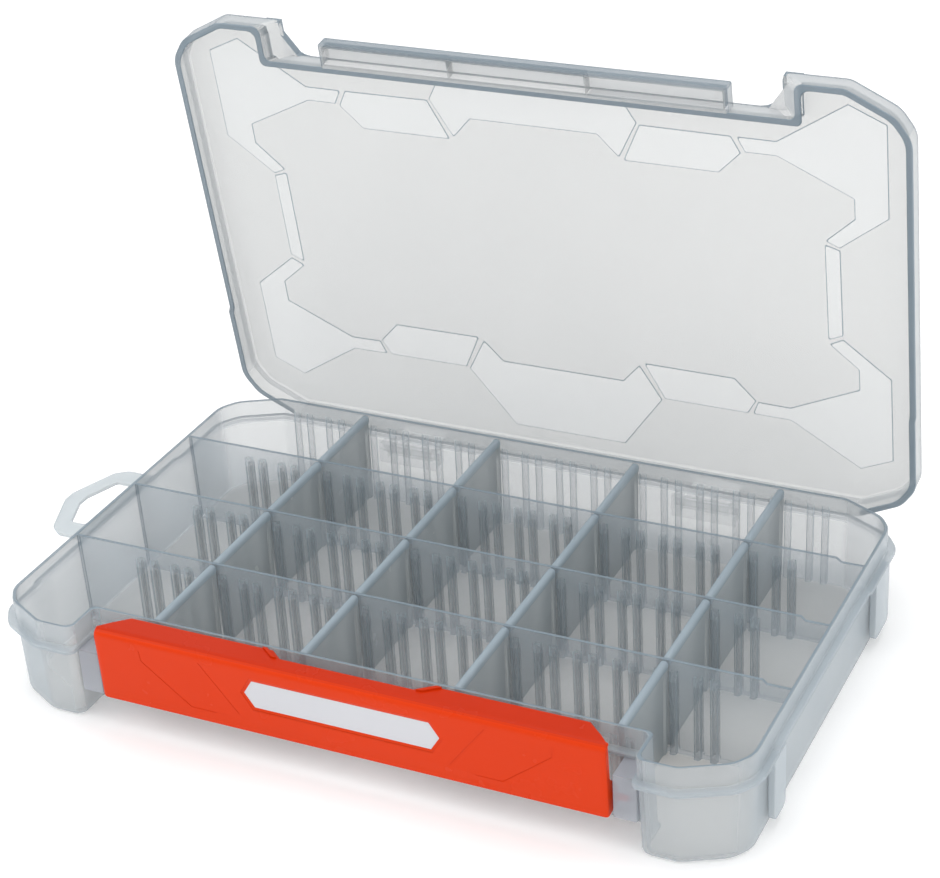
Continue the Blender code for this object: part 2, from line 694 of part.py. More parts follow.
def make_latch(mat):
    latch = add_object("latch", prism_x(latch_profile(), -LATCH_HALF, LATCH_HALF), mat)
    tools = []

    def apply(name, bm, operation):
        tool = cutter(name, bm)
        combine(latch, tool, operation)
        tools.append(tool)

    cheek_back_y = LATCH_SHELF_Y - MM / 2
    cheek_top_z = LATCH_TOP_Z - MM
    cheek_profile = [
        (LATCH_FRONT_BOTTOM_Y + MM, LATCH_BOTTOM_Z),
        (cheek_back_y, LATCH_BOTTOM_Z + MM),
        (cheek_back_y, cheek_top_z - CHEEK_CHAMFER),
        (cheek_back_y - CHEEK_CHAMFER, cheek_top_z),
        (LATCH_FRONT_TOP_Y + CHEEK_CHAMFER, cheek_top_z),
        (LATCH_FRONT_TOP_Y + MM, cheek_top_z - CHEEK_CHAMFER),
    ]
    for side in (-1, 1):
        reach = sorted((side * (LATCH_HALF - LATCH_THICKNESS), side * LATCH_HALF))
        apply(f"latch_cheek_{side}", prism_x(cheek_profile, *reach), "UNION")
        stub = sorted((side * (LATCH_HALF - MM), side * (BRACKET_INNER_X + STUB_REACH)))
        apply(
            f"latch_stub_{side}",
            cylinder_x(PIN_RADIUS, *stub, LATCH_PIVOT_Y, LATCH_PIVOT_Z),
            "UNION",
        )
        corner_y = LATCH_SHELF_Y - SHELF_CORNER_DEPTH
        corner = [(side * SHELF_CORNER_X[0], LATCH_SHELF_Y + MM), (side * (LATCH_HALF + MM), LATCH_SHELF_Y + MM)]
        corner += [(side * (LATCH_HALF + MM), corner_y), (side * SHELF_CORNER_X[1], corner_y)]
        corner_tool = prism_z(corner, LATCH_TOP_Z - SHELF_THICKNESS - MM, LATCH_TOP_Z + MM)
        apply(f"latch_corner_{side}", corner_tool, "DIFFERENCE")
    notch_y = LATCH_SHELF_Y - SHELF_NOTCH_DEPTH
    notch = [(-SHELF_NOTCH_X[1], LATCH_SHELF_Y + MM), (-SHELF_NOTCH_X[0], notch_y)]
    notch += [(SHELF_NOTCH_X[0], notch_y), (SHELF_NOTCH_X[1], LATCH_SHELF_Y + MM)]
    notch_tool = prism_z(notch, LATCH_TOP_Z - SHELF_THICKNESS - 2 * MM, LATCH_TOP_Z + MM)
    apply("latch_notch", notch_tool, "DIFFERENCE")
    apply("latch_recess", label_prism(GAP, -2 * MM, LABEL_RECESS), "DIFFERENCE")
    pivot = Vector((0.0, LATCH_PIVOT_Y, LATCH_PIVOT_Z))
    for piece in [latch] + tools:
        put_on_pivot(piece, pivot)
    return latch


def make_label(mat):
    label = add_object("label_insert", label_prism(0.0, LABEL_FACE, LABEL_BACK), mat)
    put_on_pivot(label, Vector((0.0, LATCH_PIVOT_Y, LATCH_PIVOT_Z)))
    return label


# ---------------------------------------------------------------- assembly

def main():
    clear_scene()
    tray_plastic = material("tray_plastic", (0.50, 0.55, 0.57), 0.30)
    divider_plastic = material("divider_plastic", (0.42, 0.46, 0.48), 0.32)
    lid_plastic = material("lid_plastic", (0.72, 0.76, 0.76), 0.25)
    loop_plastic = material("loop_plastic", (0.70, 0.75, 0.76), 0.35)
    latch_plastic = material("latch_plastic", (0.78, 0.06, 0.02), 0.38)
    label_card = material("label_card", (0.72, 0.74, 0.77), 0.60)

    make_tray(tray_plastic)
    for name, row in (("partition_front", -1), ("partition_middle", 0), ("partition_rear", 1)):
        make_partition(name, INNER_CENTRE_Y + row * ROW_PITCH, tray_plastic)
    make_dividers(divider_plastic)
    make_hang_loop(loop_plastic)
    pivot = lid_pivot()
    make_lid(pivot, lid_plastic)
    make_catch_bar(pivot, lid_plastic)
    for side, word in ((-1, "left"), (1, "right")):
        make_side_pad(f"side_pad_front_{word}", side, PAD_FRONT_Y, tray_plastic)
        make_side_pad(f"side_pad_rear_{word}", side, PAD_REAR_Y, tray_plastic)
        make_latch_bracket(f"latch_bracket_{word}", side, tray_plastic)
        make_hinge_bracket(f"hinge_bracket_{word}", side * HINGE_X, tray_plastic)
        make_hinge_pin(f"hinge_pin_{word}", side * HINGE_X, tray_plastic)
        make_lid_lug(f"lid_lug_{word}", side * HINGE_X, pivot, lid_plastic)
    make_latch(latch_plastic)
    make_label(label_card)


main()
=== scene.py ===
"""Looks of the fishing tackle box: frosted plastic tray, lid and dividers, and an orange latch.

Units are metres, in the CAD frame: +Z up, X along the box, the latch faces -Y. The lid is modelled shut and
then turned open by its angle at rest.
"""

import json
import math

import bmesh
import bpy
from mathutils import Matrix, Vector
from mathutils.geometry import tessellate_polygon


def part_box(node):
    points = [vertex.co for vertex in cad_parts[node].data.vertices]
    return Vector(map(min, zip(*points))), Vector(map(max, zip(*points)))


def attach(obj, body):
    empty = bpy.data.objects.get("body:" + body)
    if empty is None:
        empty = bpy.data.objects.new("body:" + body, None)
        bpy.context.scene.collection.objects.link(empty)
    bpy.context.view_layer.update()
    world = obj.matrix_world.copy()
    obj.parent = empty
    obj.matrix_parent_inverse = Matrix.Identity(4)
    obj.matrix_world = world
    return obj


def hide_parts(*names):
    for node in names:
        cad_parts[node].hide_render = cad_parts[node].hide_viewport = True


MM = 0.001

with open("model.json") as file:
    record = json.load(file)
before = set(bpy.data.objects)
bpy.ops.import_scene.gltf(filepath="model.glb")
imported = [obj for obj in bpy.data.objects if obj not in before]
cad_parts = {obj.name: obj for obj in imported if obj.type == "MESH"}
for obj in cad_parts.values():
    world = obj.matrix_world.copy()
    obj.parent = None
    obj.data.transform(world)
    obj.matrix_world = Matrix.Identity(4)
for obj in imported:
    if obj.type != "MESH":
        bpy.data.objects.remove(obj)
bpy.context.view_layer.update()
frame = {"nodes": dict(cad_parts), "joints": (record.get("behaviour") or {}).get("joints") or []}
joints = {joint["name"]: joint for joint in frame["joints"]}

SHARP_EDGE = math.radians(32.0)
BEVEL_EDGE = math.radians(35.0)

# Joints
HINGE_Y, HINGE_Z = joints["lid_hinge"]["pos_m"][1:]
LID_OPEN_DEG = 80.4
LATCH_PIVOT_Y, LATCH_PIVOT_Z = joints["latch_hinge"]["pos_m"][1:]

# Tray, taken from its CAD box
tray_low, tray_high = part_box("tray")
FLANGE_OUT = 3.5 * MM
SIDE_X = tray_high.x - FLANGE_OUT
BACK_Y = tray_high.y - FLANGE_OUT
LEG_FRONT_Y = tray_low.y + FLANGE_OUT
RIM_Z = tray_high.z
FRONT_WALL_Y = LEG_FRONT_Y + 18.2 * MM
LEG_INNER_X = 130.0 * MM
CHAMFER_X = 148.0 * MM
CHAMFER_END_X = SIDE_X - 6.0 * MM
CHAMFER_RUN_Y = 10.3 * MM
CORNER_RUN_Y = 19.4 * MM
STEP_FRONT_Y = -70.0 * MM
STEP_REAR_Y = 50.0 * MM
STEP_RUN = 2.0 * MM
STEP_RISE = 1.6 * MM
OUTLINE_RADII_MM = (3, 4, 8, 14, 14, 0, 0, 0, 0, 14, 14, 8)
ARC_STEPS = 6
WALL = 1.6 * MM
FLOOR_TOP_Z = 1.8 * MM
FLANGE_Z = 35.4 * MM
FLANGE_TOP_Z = 37.4 * MM
DRAFT_TOP = 0.4 * MM
DRAFT_BOTTOM = 1.2 * MM
BASE_EDGE = 2.8 * MM
FOOT = 2.6 * MM
LEG_GAP = 0.8 * MM

# Compartments
ROWS = 4
COLUMNS = 5
ROW_CLEAR = 48.4 * MM
PARTITION_HALF = 0.7 * MM
ROW_PITCH = ROW_CLEAR + 2 * PARTITION_HALF
INNER_CENTRE_Y = (FRONT_WALL_Y + BACK_Y) / 2
SLOT_PITCH = 18.0 * MM
SLOTS = 16
FRONT_SLOTS = range(1, SLOTS - 1)
RIB_WIDTH = 3.4 * MM
RIB_DEPTH = 1.9 * MM
RIB_CENTRE = 3.6 * MM
RIB_SHOULDER_Z = 38.0 * MM
RIB_TIP_Z = 41.8 * MM
RIM_ROUND = 0.3 * MM
NOTCH_X = 159.0 * MM
NOTCH_DEPTH = 1.8 * MM
NOTCH_RUN = 2.0 * MM
NOTCH_END = 0.6 * MM
NOTCH_POINTS = 3
SEAM_WIDTH = 0.9 * MM

# Lid, shut
LID_TOP_Z = 50.4 * MM
LID_CEILING_Z = 48.6 * MM
LID_LIP_Z = 38.0 * MM
LID_INNER = -0.3 * MM
LID_OUTER = -3.3 * MM
LID_ROUND = 2.8 * MM
LID_NOTCH_X = 122.6 * MM
LID_FRONT_Y = FRONT_WALL_Y - 0.8 * MM
CATCH_WALL = 1.6 * MM
BORE_RADIUS = 1.7 * MM
PANEL_DEPTH = 0.22 * MM
PANEL_SLOPE = 0.45 * MM


# ---------------------------------------------------------------- materials

CLOUD_SCALE = 22.0
GLOSS_SCALE = 60.0
GLOSS_SPREAD = 0.06
GRAIN_SCALE = 900.0
GRAIN_DEPTH = 0.2 * MM
FROSTED_GRAIN = 0.01
VEIL_CURVE = 1.6
PLASTIC_IOR = 1.49


def node(tree, kind, **inputs):
    made = tree.nodes.new(kind)
    for name, value in inputs.items():
        made.inputs[name.replace("_", " ")].default_value = value
    return made


def noise(tree, scale, detail=3.0):
    coords = tree.nodes.new("ShaderNodeTexCoord")
    made = node(tree, "ShaderNodeTexNoise", Scale=scale, Detail=detail, Roughness=0.5)
    tree.links.new(coords.outputs["Object"], made.inputs["Vector"])
    return made.outputs["Fac"]


def spread(tree, source, low, high):
    """Maps a 0 to 1 value to the range low to high."""
    made = node(tree, "ShaderNodeMapRange")
    made.inputs["To Min"].default_value = low
    made.inputs["To Max"].default_value = high
    tree.links.new(source, made.inputs["Value"])
    return made.outputs["Result"]


def blend_colours(tree, factor, first, second):
    made = tree.nodes.new("ShaderNodeMix")
    made.data_type = "RGBA"
    if isinstance(first, tuple):
        made.inputs["A"].default_value = (*first, 1.0)
    else:
        tree.links.new(first, made.inputs["A"])
    made.inputs["B"].default_value = (*second, 1.0)
    tree.links.new(factor, made.inputs["Factor"])
    return made.outputs["Result"]


def plastic(name, light, dark, roughness, grain=0.0, shine=0.5):
    """Moulded plastic: cloudy colour, uneven gloss and a fine moulding grain."""
    mat = bpy.data.materials.new(name)
    mat.use_nodes = True
    tree = mat.node_tree
    shader = tree.nodes["Principled BSDF"]
    cloud = noise(tree, CLOUD_SCALE)
    gloss = spread(tree, noise(tree, GLOSS_SCALE), roughness - GLOSS_SPREAD, roughness + GLOSS_SPREAD)
    tree.links.new(blend_colours(tree, cloud, dark, light), shader.inputs["Base Color"])
    tree.links.new(gloss, shader.inputs["Roughness"])
    if grain:
        bump = node(tree, "ShaderNodeBump", Strength=grain, Distance=GRAIN_DEPTH)
        tree.links.new(noise(tree, GRAIN_SCALE, 2.0), bump.inputs["Height"])
        tree.links.new(bump.outputs["Normal"], shader.inputs["Normal"])
    shader.inputs["IOR"].default_value = PLASTIC_IOR
    shader.inputs["Specular IOR Level"].default_value = shine
    return mat


def frosted(name, light, dark, edge, roughness, head_on, grazing, shine=0.5):
    """See-through plastic: a veil that thickens from head_on to grazing and turns to the edge colour."""
    mat = plastic(name, light, dark, roughness, FROSTED_GRAIN, shine)
    tree = mat.node_tree
    shader = tree.nodes["Principled BSDF"]
    slant = node(tree, "ShaderNodeLayerWeight", Blend=0.5)
    curve = node(tree, "ShaderNodeMath")
    curve.operation = "POWER"
    curve.inputs[1].default_value = VEIL_CURVE
    tree.links.new(slant.outputs["Facing"], curve.inputs[0])
    cloudy = shader.inputs["Base Color"].links[0].from_socket
    tree.links.new(blend_colours(tree, curve.outputs[0], cloudy, edge), shader.inputs["Base Color"])
    clear = node(tree, "ShaderNodeBsdfTransparent")
    mix = tree.nodes.new("ShaderNodeMixShader")
    tree.links.new(spread(tree, curve.outputs[0], head_on, grazing), mix.inputs[0])
    tree.links.new(clear.outputs[0], mix.inputs[1])
    tree.links.new(shader.outputs[0], mix.inputs[2])
    tree.links.new(mix.outputs[0], tree.nodes["Material Output"].inputs["Surface"])
    return mat


SMOKE = (0.36, 0.43, 0.48)

# Light, dark and edge colour, roughness, veil head on and grazing and, where it isn't 0.5, shine.
FROSTED = {
    "tray_wall": ((0.66, 0.70, 0.72), (0.58, 0.62, 0.645), SMOKE, 0.22, 0.26, 0.85),
    "tray_rim": ((0.28, 0.34, 0.385), (0.22, 0.28, 0.325), (0.15, 0.205, 0.25), 0.16, 0.78, 0.97, 0.4),
    "tray_rib": ((0.37, 0.43, 0.47), (0.29, 0.35, 0.39), (0.28, 0.35, 0.40), 0.15, 0.42, 0.94),
    # The floor: the plastic's own tone, made lighter and warmer than the walls as painted light that stands
    # in for light passing through the plastic.
    "tray_floor": ((0.88, 0.85, 0.80), (0.82, 0.79, 0.75), (0.74, 0.74, 0.73), 0.35, 0.45, 0.85),
    "tray_flange": ((0.58, 0.64, 0.68), (0.50, 0.56, 0.60), (0.24, 0.30, 0.35), 0.18, 0.42, 0.90, 0.4),
    "latch_holder": ((0.64, 0.67, 0.73), (0.57, 0.60, 0.66), (0.42, 0.47, 0.55), 0.18, 0.34, 0.88),
    "tray_partition": ((0.62, 0.70, 0.76), (0.55, 0.63, 0.69), (0.42, 0.50, 0.56), 0.20, 0.15, 0.80),
    "tray_seam": ((0.26, 0.32, 0.37), (0.20, 0.26, 0.31), (0.18, 0.24, 0.29), 0.20, 0.70, 0.95, 0.3),
    # Rib tips: lighter than the ribs, a painted highlight.
    "rib_tip_painted_highlight": ((0.54, 0.62, 0.67), (0.45, 0.53, 0.58), (0.34, 0.42, 0.48), 0.12, 0.34, 0.90),
    "tray_bracket": ((0.70, 0.75, 0.78), (0.63, 0.68, 0.715), SMOKE, 0.22, 0.04, 0.22),
    "divider_blade": ((0.57, 0.615, 0.63), (0.42, 0.46, 0.475), (0.36, 0.405, 0.43), 0.25, 0.45, 0.95),
    "divider_rail": ((0.46, 0.54, 0.60), (0.35, 0.43, 0.49), (0.29, 0.37, 0.43), 0.15, 0.66, 0.97),
    "lid_clear": ((0.60, 0.61, 0.60), (0.54, 0.555, 0.545), (0.38, 0.43, 0.46), 0.22, 0.29, 0.85, 0.35),
    "lid_lip": ((0.22, 0.285, 0.335), (0.165, 0.225, 0.275), (0.16, 0.215, 0.255), 0.18, 0.88, 0.97),
    "lid_field": ((0.69, 0.745, 0.775), (0.64, 0.695, 0.725), (0.52, 0.58, 0.62), 0.26, 0.23, 0.75, 0.35),
    "lid_border": ((0.20, 0.32, 0.40), (0.15, 0.27, 0.35), (0.16, 0.27, 0.35), 0.30, 0.80, 0.92, 0.2),
    "lid_wall": ((0.52, 0.55, 0.56), (0.46, 0.49, 0.50), (0.17, 0.23, 0.28), 0.18, 0.34, 0.95),
    "lid_edge": ((0.23, 0.295, 0.345), (0.18, 0.24, 0.29), (0.13, 0.185, 0.23), 0.18, 0.50, 0.96, 0.35),
    "loop_plastic": ((0.70, 0.75, 0.77), (0.64, 0.695, 0.72), SMOKE, 0.25, 0.45, 0.92),
    "side_pad": ((0.66, 0.72, 0.76), (0.58, 0.64, 0.68), SMOKE, 0.18, 0.42, 0.90),
}

# Light and dark colour, roughness, grain and shine.
OPAQUE = {
    "latch_orange": ((0.76, 0.046, 0.003), (0.72, 0.041, 0.002), 0.26, 0.0, 0.15),
    # Darker copies of the latch orange for the shelf's rounded edge and its top: painted shade.
    "latch_edge_painted_shade": ((0.67, 0.038, 0.002), (0.63, 0.034, 0.002), 0.26, 0.0, 0.15),
    "latch_top_painted_shade": ((0.57, 0.028, 0.002), (0.54, 0.025, 0.001), 0.26, 0.0, 0.15),
    "label_card": ((0.70, 0.71, 0.74), (0.63, 0.645, 0.68), 0.60, 0.25, 0.3),
}


def make_materials():
    mats = {name: frosted(name, *recipe) for name, recipe in FROSTED.items()}
    mats.update({name: plastic(name, *recipe) for name, recipe in OPAQUE.items()})
    return mats


# ---------------------------------------------------------------- mesh helpers

def finish_mesh(name, bm, mats):
    bmesh.ops.remove_doubles(bm, verts=bm.verts, dist=0.004 * MM)
    bmesh.ops.recalc_face_normals(bm, faces=bm.faces)
    mesh = bpy.data.meshes.new(name)
    bm.to_mesh(mesh)
    bm.free()
    for mat in mats:
        mesh.materials.append(mat)
    mesh.shade_smooth()
    mesh.set_sharp_from_angle(angle=SHARP_EDGE)
    obj = bpy.data.objects.new(name, mesh)
    bpy.context.scene.collection.objects.link(obj)
    return obj


def combine(obj, tools, operation):
    """Cuts each piece from the object, or joins it on, and removes it. Faces keep their material numbers."""
    for piece in tools:
        mod = obj.modifiers.new("combine", "BOOLEAN")
        mod.operation = operation
        mod.object = piece
        mod.solver = "EXACT"
        mod.material_mode = "INDEX"
        apply_modifiers(obj)
        mesh = piece.data
        bpy.data.objects.remove(piece)
        bpy.data.meshes.remove(mesh)
    obj.data.set_sharp_from_angle(angle=SHARP_EDGE)
    even_normals(obj)


def even_normals(obj):
    """Keeps large flat faces flat up to their rounded edges."""
    obj.modifiers.new("normals", "WEIGHTED_NORMAL").keep_sharp = True
    apply_modifiers(obj)


def apply_modifiers(obj):
    bpy.context.view_layer.update()
    evaluated = obj.evaluated_get(bpy.context.evaluated_depsgraph_get())
    mesh = bpy.data.meshes.new_from_object(evaluated)
    obj.modifiers.clear()
    before = obj.data
    obj.data = mesh
    mesh.name = obj.name
    if before.users == 0:
        bpy.data.meshes.remove(before)


def bevel(obj, width, segments):
    mod = obj.modifiers.new("bevel", "BEVEL")
    mod.width = width
    mod.segments = segments
    mod.limit_method = "ANGLE"
    mod.angle_limit = BEVEL_EDGE
    apply_modifiers(obj)


def show(obj, body, slot, *nodes):
    if nodes:
        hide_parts(*nodes)
    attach(obj, body)


def paint_node(name, mat):
    """Gives a node of the frame that is kept as it is a material."""
    mesh = frame["nodes"][name].data
    mesh.materials.clear()
    mesh.materials.append(mat)


def offset_outline(points, inset):
    """Moves every edge of a counter-clockwise outline inwards by inset, with mitred corners."""
    moved = []
    for i, here in enumerate(points):
        before = (here - points[i - 1]).normalized()
        after = (points[(i + 1) % len(points)] - here).normalized()
        normal_in = Vector((-before.y, before.x))
        normal_out = Vector((-after.y, after.x))
        mitre = (normal_in + normal_out).normalized()
        moved.append(here + mitre * inset / mitre.dot(normal_in))
    return moved


def round_corners(points, radii, steps=ARC_STEPS):
    """Replaces each corner that has a radius with an arc of steps + 1 points."""
    rounded = []
    for i, here in enumerate(points):
        radius = radii[i]
        if not radius:
            rounded.append(here)
            continue
        to_before = (points[i - 1] - here).normalized()
        to_after = (points[(i + 1) % len(points)] - here).normalized()
        half = to_before.angle(to_after) / 2
        reach = radius / math.tan(half)
        centre = here + (to_before + to_after).normalized() * radius / math.sin(half)
        first = here + to_before * reach - centre
        last = here + to_after * reach - centre
        turn = first.angle_signed(last)
        for k in range(steps + 1):
            rounded.append(centre + Matrix.Rotation(-turn * k / steps, 2) @ first)
    return rounded


def ring(bm, points, z):
    return [bm.verts.new((p.x, p.y, z(p) if callable(z) else z)) for p in points]


def skin(bm, lower, upper, index=0):
    count = len(lower)
    for i in range(count):
        j = (i + 1) % count
        bm.faces.new((lower[i], lower[j], upper[j], upper[i])).material_index = index


def loft(rings, cap_first=True, cap_last=True, bm=None, index=0):
    """Skins a stack of (outline, height) rings."""
    bm = bm or bmesh.new()
    made = [ring(bm, points, z) for points, z in rings]
    for lower, upper in zip(made, made[1:]):
        skin(bm, lower, upper, index)
    if cap_first:
        bm.faces.new(list(reversed(made[0]))).material_index = index
    if cap_last:
        bm.faces.new(made[-1]).material_index = index
    return bm, made


def box(low, high):
    bm = bmesh.new()
    bmesh.ops.create_cube(bm, size=1.0)
    bmesh.ops.scale(bm, vec=Vector(high) - Vector(low), verts=bm.verts)
    bmesh.ops.translate(bm, vec=(Vector(high) + Vector(low)) / 2, verts=bm.verts)
    return bm


def prism_x(profile, x_low, x_high, index=0):
    """Extrudes a closed outline of (y, z) points along X."""
    bm = bmesh.new()
    near = [bm.verts.new((x_low, y, z)) for y, z in profile]
    far = [bm.verts.new((x_high, y, z)) for y, z in profile]
    skin(bm, near, far, index)
    bm.faces.new(list(reversed(near))).material_index = index
    bm.faces.new(far).material_index = index
    return bm


def cylinder_x(radius, x_low, x_high, y, z, segments=32, index=0):
    turns = [2 * math.pi * k / segments for k in range(segments)]
    circle = [(y + radius * math.cos(turn), z + radius * math.sin(turn)) for turn in turns]
    return prism_x(circle, x_low, x_high, index)


def tool(bm, mats):
    """A passing object for combine."""
    return finish_mesh("tool", bm, mats)


# ---------------------------------------------------------------- outlines

def half_outline(leg_x, front_y):
    """The right half of the box outline, from the front wall round to the back wall."""
    return [
        (leg_x, front_y),
        (leg_x, LEG_FRONT_Y),
        (CHAMFER_X, LEG_FRONT_Y),
        (CHAMFER_END_X, LEG_FRONT_Y + CHAMFER_RUN_Y),
        (SIDE_X, LEG_FRONT_Y + CORNER_RUN_Y),
        (SIDE_X, STEP_FRONT_Y - STEP_RUN),
        (SIDE_X, STEP_FRONT_Y),
        (SIDE_X, STEP_REAR_Y),
        (SIDE_X, STEP_REAR_Y + STEP_RUN),
        (SIDE_X, BACK_Y - CORNER_RUN_Y),
        (CHAMFER_END_X, BACK_Y - CHAMFER_RUN_Y),
        (CHAMFER_X, BACK_Y),
    ]


def outline(inset, leg_x=LEG_INNER_X, front_y=FRONT_WALL_Y):
    points = half_outline(leg_x, front_y)
    whole = [Vector(p) for p in points] + [Vector((-x, y)) for x, y in reversed(points)]
    radii = [r * MM for r in OUTLINE_RADII_MM + OUTLINE_RADII_MM[::-1]]
    return round_corners(offset_outline(whole, inset), radii)


def raised(z):
    """A height that steps up along the middle of both sides."""
    def height(point):
        on_side = abs(point.x) > CHAMFER_END_X
        in_step = STEP_FRONT_Y - 0.1 * STEP_RUN < point.y < STEP_REAR_Y + 0.1 * STEP_RUN
        return z + STEP_RISE if on_side and in_step else z
    return height


def slot_x(index):
    return (index - (SLOTS - 1) / 2) * SLOT_PITCH


RIB_PROFILE = ((-0.5, 0.0), (-0.44, 0.62), (-0.26, 1.0), (0.26, 1.0), (0.44, 0.62), (0.5, 0.0))


def comb(direction, y, depth, slots=range(SLOTS)):
    """Points of a ribbed edge along X, without its ends. depth is how far the ribs stand off y."""
    centres = [slot_x(i) + side * RIB_CENTRE for i in slots for side in (-1, 1)]
    points = []
    for centre in sorted(centres, reverse=direction < 0):
        points += [Vector((centre + direction * a * RIB_WIDTH, y + d * depth)) for a, d in RIB_PROFILE]
    return points


# ---------------------------------------------------------------- tray

def row_limits(row):
    centre = INNER_CENTRE_Y + (row - (ROWS - 1) / 2) * ROW_PITCH
    return centre - ROW_CLEAR / 2, centre + ROW_CLEAR / 2


def row_outline(row, inset, spare, depth=None):
    """A compartment row from above. spare widens it at the partitions. depth adds ribs of that depth."""
    low, high = row_limits(row)
    low, high = low - spare, high + spare
    side = SIDE_X - inset
    whole = outline(inset)
    half = len(whole) // 2
    right, left = whole[:half], whole[half:]
    notch = [side, side - NOTCH_END, NOTCH_X + NOTCH_RUN, NOTCH_X]
    seam = [-side, SEAM_WIDTH - side, -NOTCH_X - NOTCH_RUN, -NOTCH_X]
    ends = [low, high]
    if row == 0:
        right = [p for p in right if p.y < high - MM]
        left = [p for p in left if p.y < high - MM]
        ends[0] = FRONT_WALL_Y + inset
    elif row == ROWS - 1:
        right = [p for p in right if p.y > low + MM]
        left = [p for p in left if p.y > low + MM]
        ends[1] = BACK_Y - inset
    else:
        right = left = []
    if row:
        right = [Vector((x, low)) for x in notch[::-1]] + right
        left = left + [Vector((x, low)) for x in seam]
    if row < ROWS - 1:
        right = right + [Vector((x, high)) for x in notch]
        left = [Vector((x, high)) for x in seam[::-1]] + left
    slots = FRONT_SLOTS if row == 0 else range(SLOTS)
    marks = {len(right) - 1: SLOTS, len(right) + len(left) - 1: len(slots)}
    if depth is None:
        return right + left, marks
    return right + comb(-1, ends[1], -depth) + left + comb(1, ends[0], depth, slots), marks


def rim_height(z):
    """The height of a rim, which drops where a partition meets the right side wall."""
    def height(point):
        limits = [limit for row in range(ROWS) for limit in row_limits(row)]
        at_partition = min(abs(point.y - limit) for limit in limits) < 2 * RIM_ROUND
        in_notch = NOTCH_X + MM < point.x < SIDE_X - WALL - 0.5 * NOTCH_END
        return z - NOTCH_DEPTH if at_partition and in_notch else z
    return height


def skin_ribs(bm, ribbed, plain, marks, index):
    """Joins a ribbed ring to a plain one. marks maps a plain edge's index to its number of slots."""
    at = 0
    count = len(plain)
    for i in range(count):
        extra = marks.get(i, 0) * 2 * len(RIB_PROFILE)
        along = [ribbed[(at + k) % len(ribbed)] for k in range(extra + 2)]
        bm.faces.new(along + [plain[(i + 1) % count], plain[i]]).material_index = index
        at += extra + 1


def make_row(bm, row):
    """Adds one row's inner skin to the tray and returns its rim ring. Material 2 is ribs and 3 the floor."""
    def ribbed(inset, spare):
        return row_outline(row, inset, spare, RIB_DEPTH)[0]

    low_rings = [
        (ribbed(FOOT + 0.9 * MM, -0.9 * MM), FLOOR_TOP_Z),
        (ribbed(FOOT + 0.25 * MM, -0.25 * MM), FLOOR_TOP_Z + 0.3 * MM),
        (ribbed(FOOT, 0.0), FLOOR_TOP_Z + 0.9 * MM),
        (ribbed(WALL + 0.1 * MM, 0.0), RIB_SHOULDER_Z),
        (row_outline(row, WALL, 0.0, 0.0)[0], RIB_TIP_Z),
    ]
    _, made = loft(low_rings, cap_first=False, cap_last=False, bm=bm)
    # Material 3, the floor, is lighter than the walls: partly painted light.
    floor = bm.faces.new(list(reversed(made[0])))
    floor.material_index = 3
    points, marks = row_outline(row, WALL, 0.0)
    rim_rings = [
        (points, rim_height(RIM_Z - RIM_ROUND)),
        (row_outline(row, WALL - 0.1 * MM, 0.1 * MM)[0], rim_height(RIM_Z - 0.1 * MM)),
        (row_outline(row, WALL - RIM_ROUND, RIM_ROUND)[0], rim_height(RIM_Z)),
    ]
    _, rims = loft(rim_rings, cap_first=False, cap_last=False, bm=bm, index=1)
    skin_ribs(bm, made[-1], rims[0], marks, 0)
    return rims[-1]


def mark_ribs(bm):
    """Tells ribs, rib tips and partitions from the walls. The rib tips get a lighter material: a painted
    highlight.
    """
    planes = []
    for row in range(ROWS):
        planes += row_limits(row)
    for face in bm.faces:
        centre = face.calc_center_median()
        if face.material_index or centre.z < FLOOR_TOP_Z:
            continue
        near = min(abs(centre.y - plane) for plane in planes)
        near_partition = min(abs(centre.y - plane) for plane in planes[1:-1])
        width = max(v.co.x for v in face.verts) - min(v.co.x for v in face.verts)
        among_slots = abs(centre.x) < slot_x(SLOTS - 1) + 3 * RIB_CENTRE
        # Rib faces above the shoulder, the tips, take material 6, which is lighter than the ribs: a painted
        # highlight.
        if among_slots and 0.3 * MM < near < 3.4 * MM and width < RIB_WIDTH:
            face.material_index = 6 if centre.z > RIB_SHOULDER_Z else 2
        elif near_partition < 0.3 * MM and abs(centre.x) < SIDE_X - WALL:
            at_left_end = centre.x < -NOTCH_X - 2 * NOTCH_RUN and width < 3 * MM
            face.material_index = 7 if at_left_end else 5


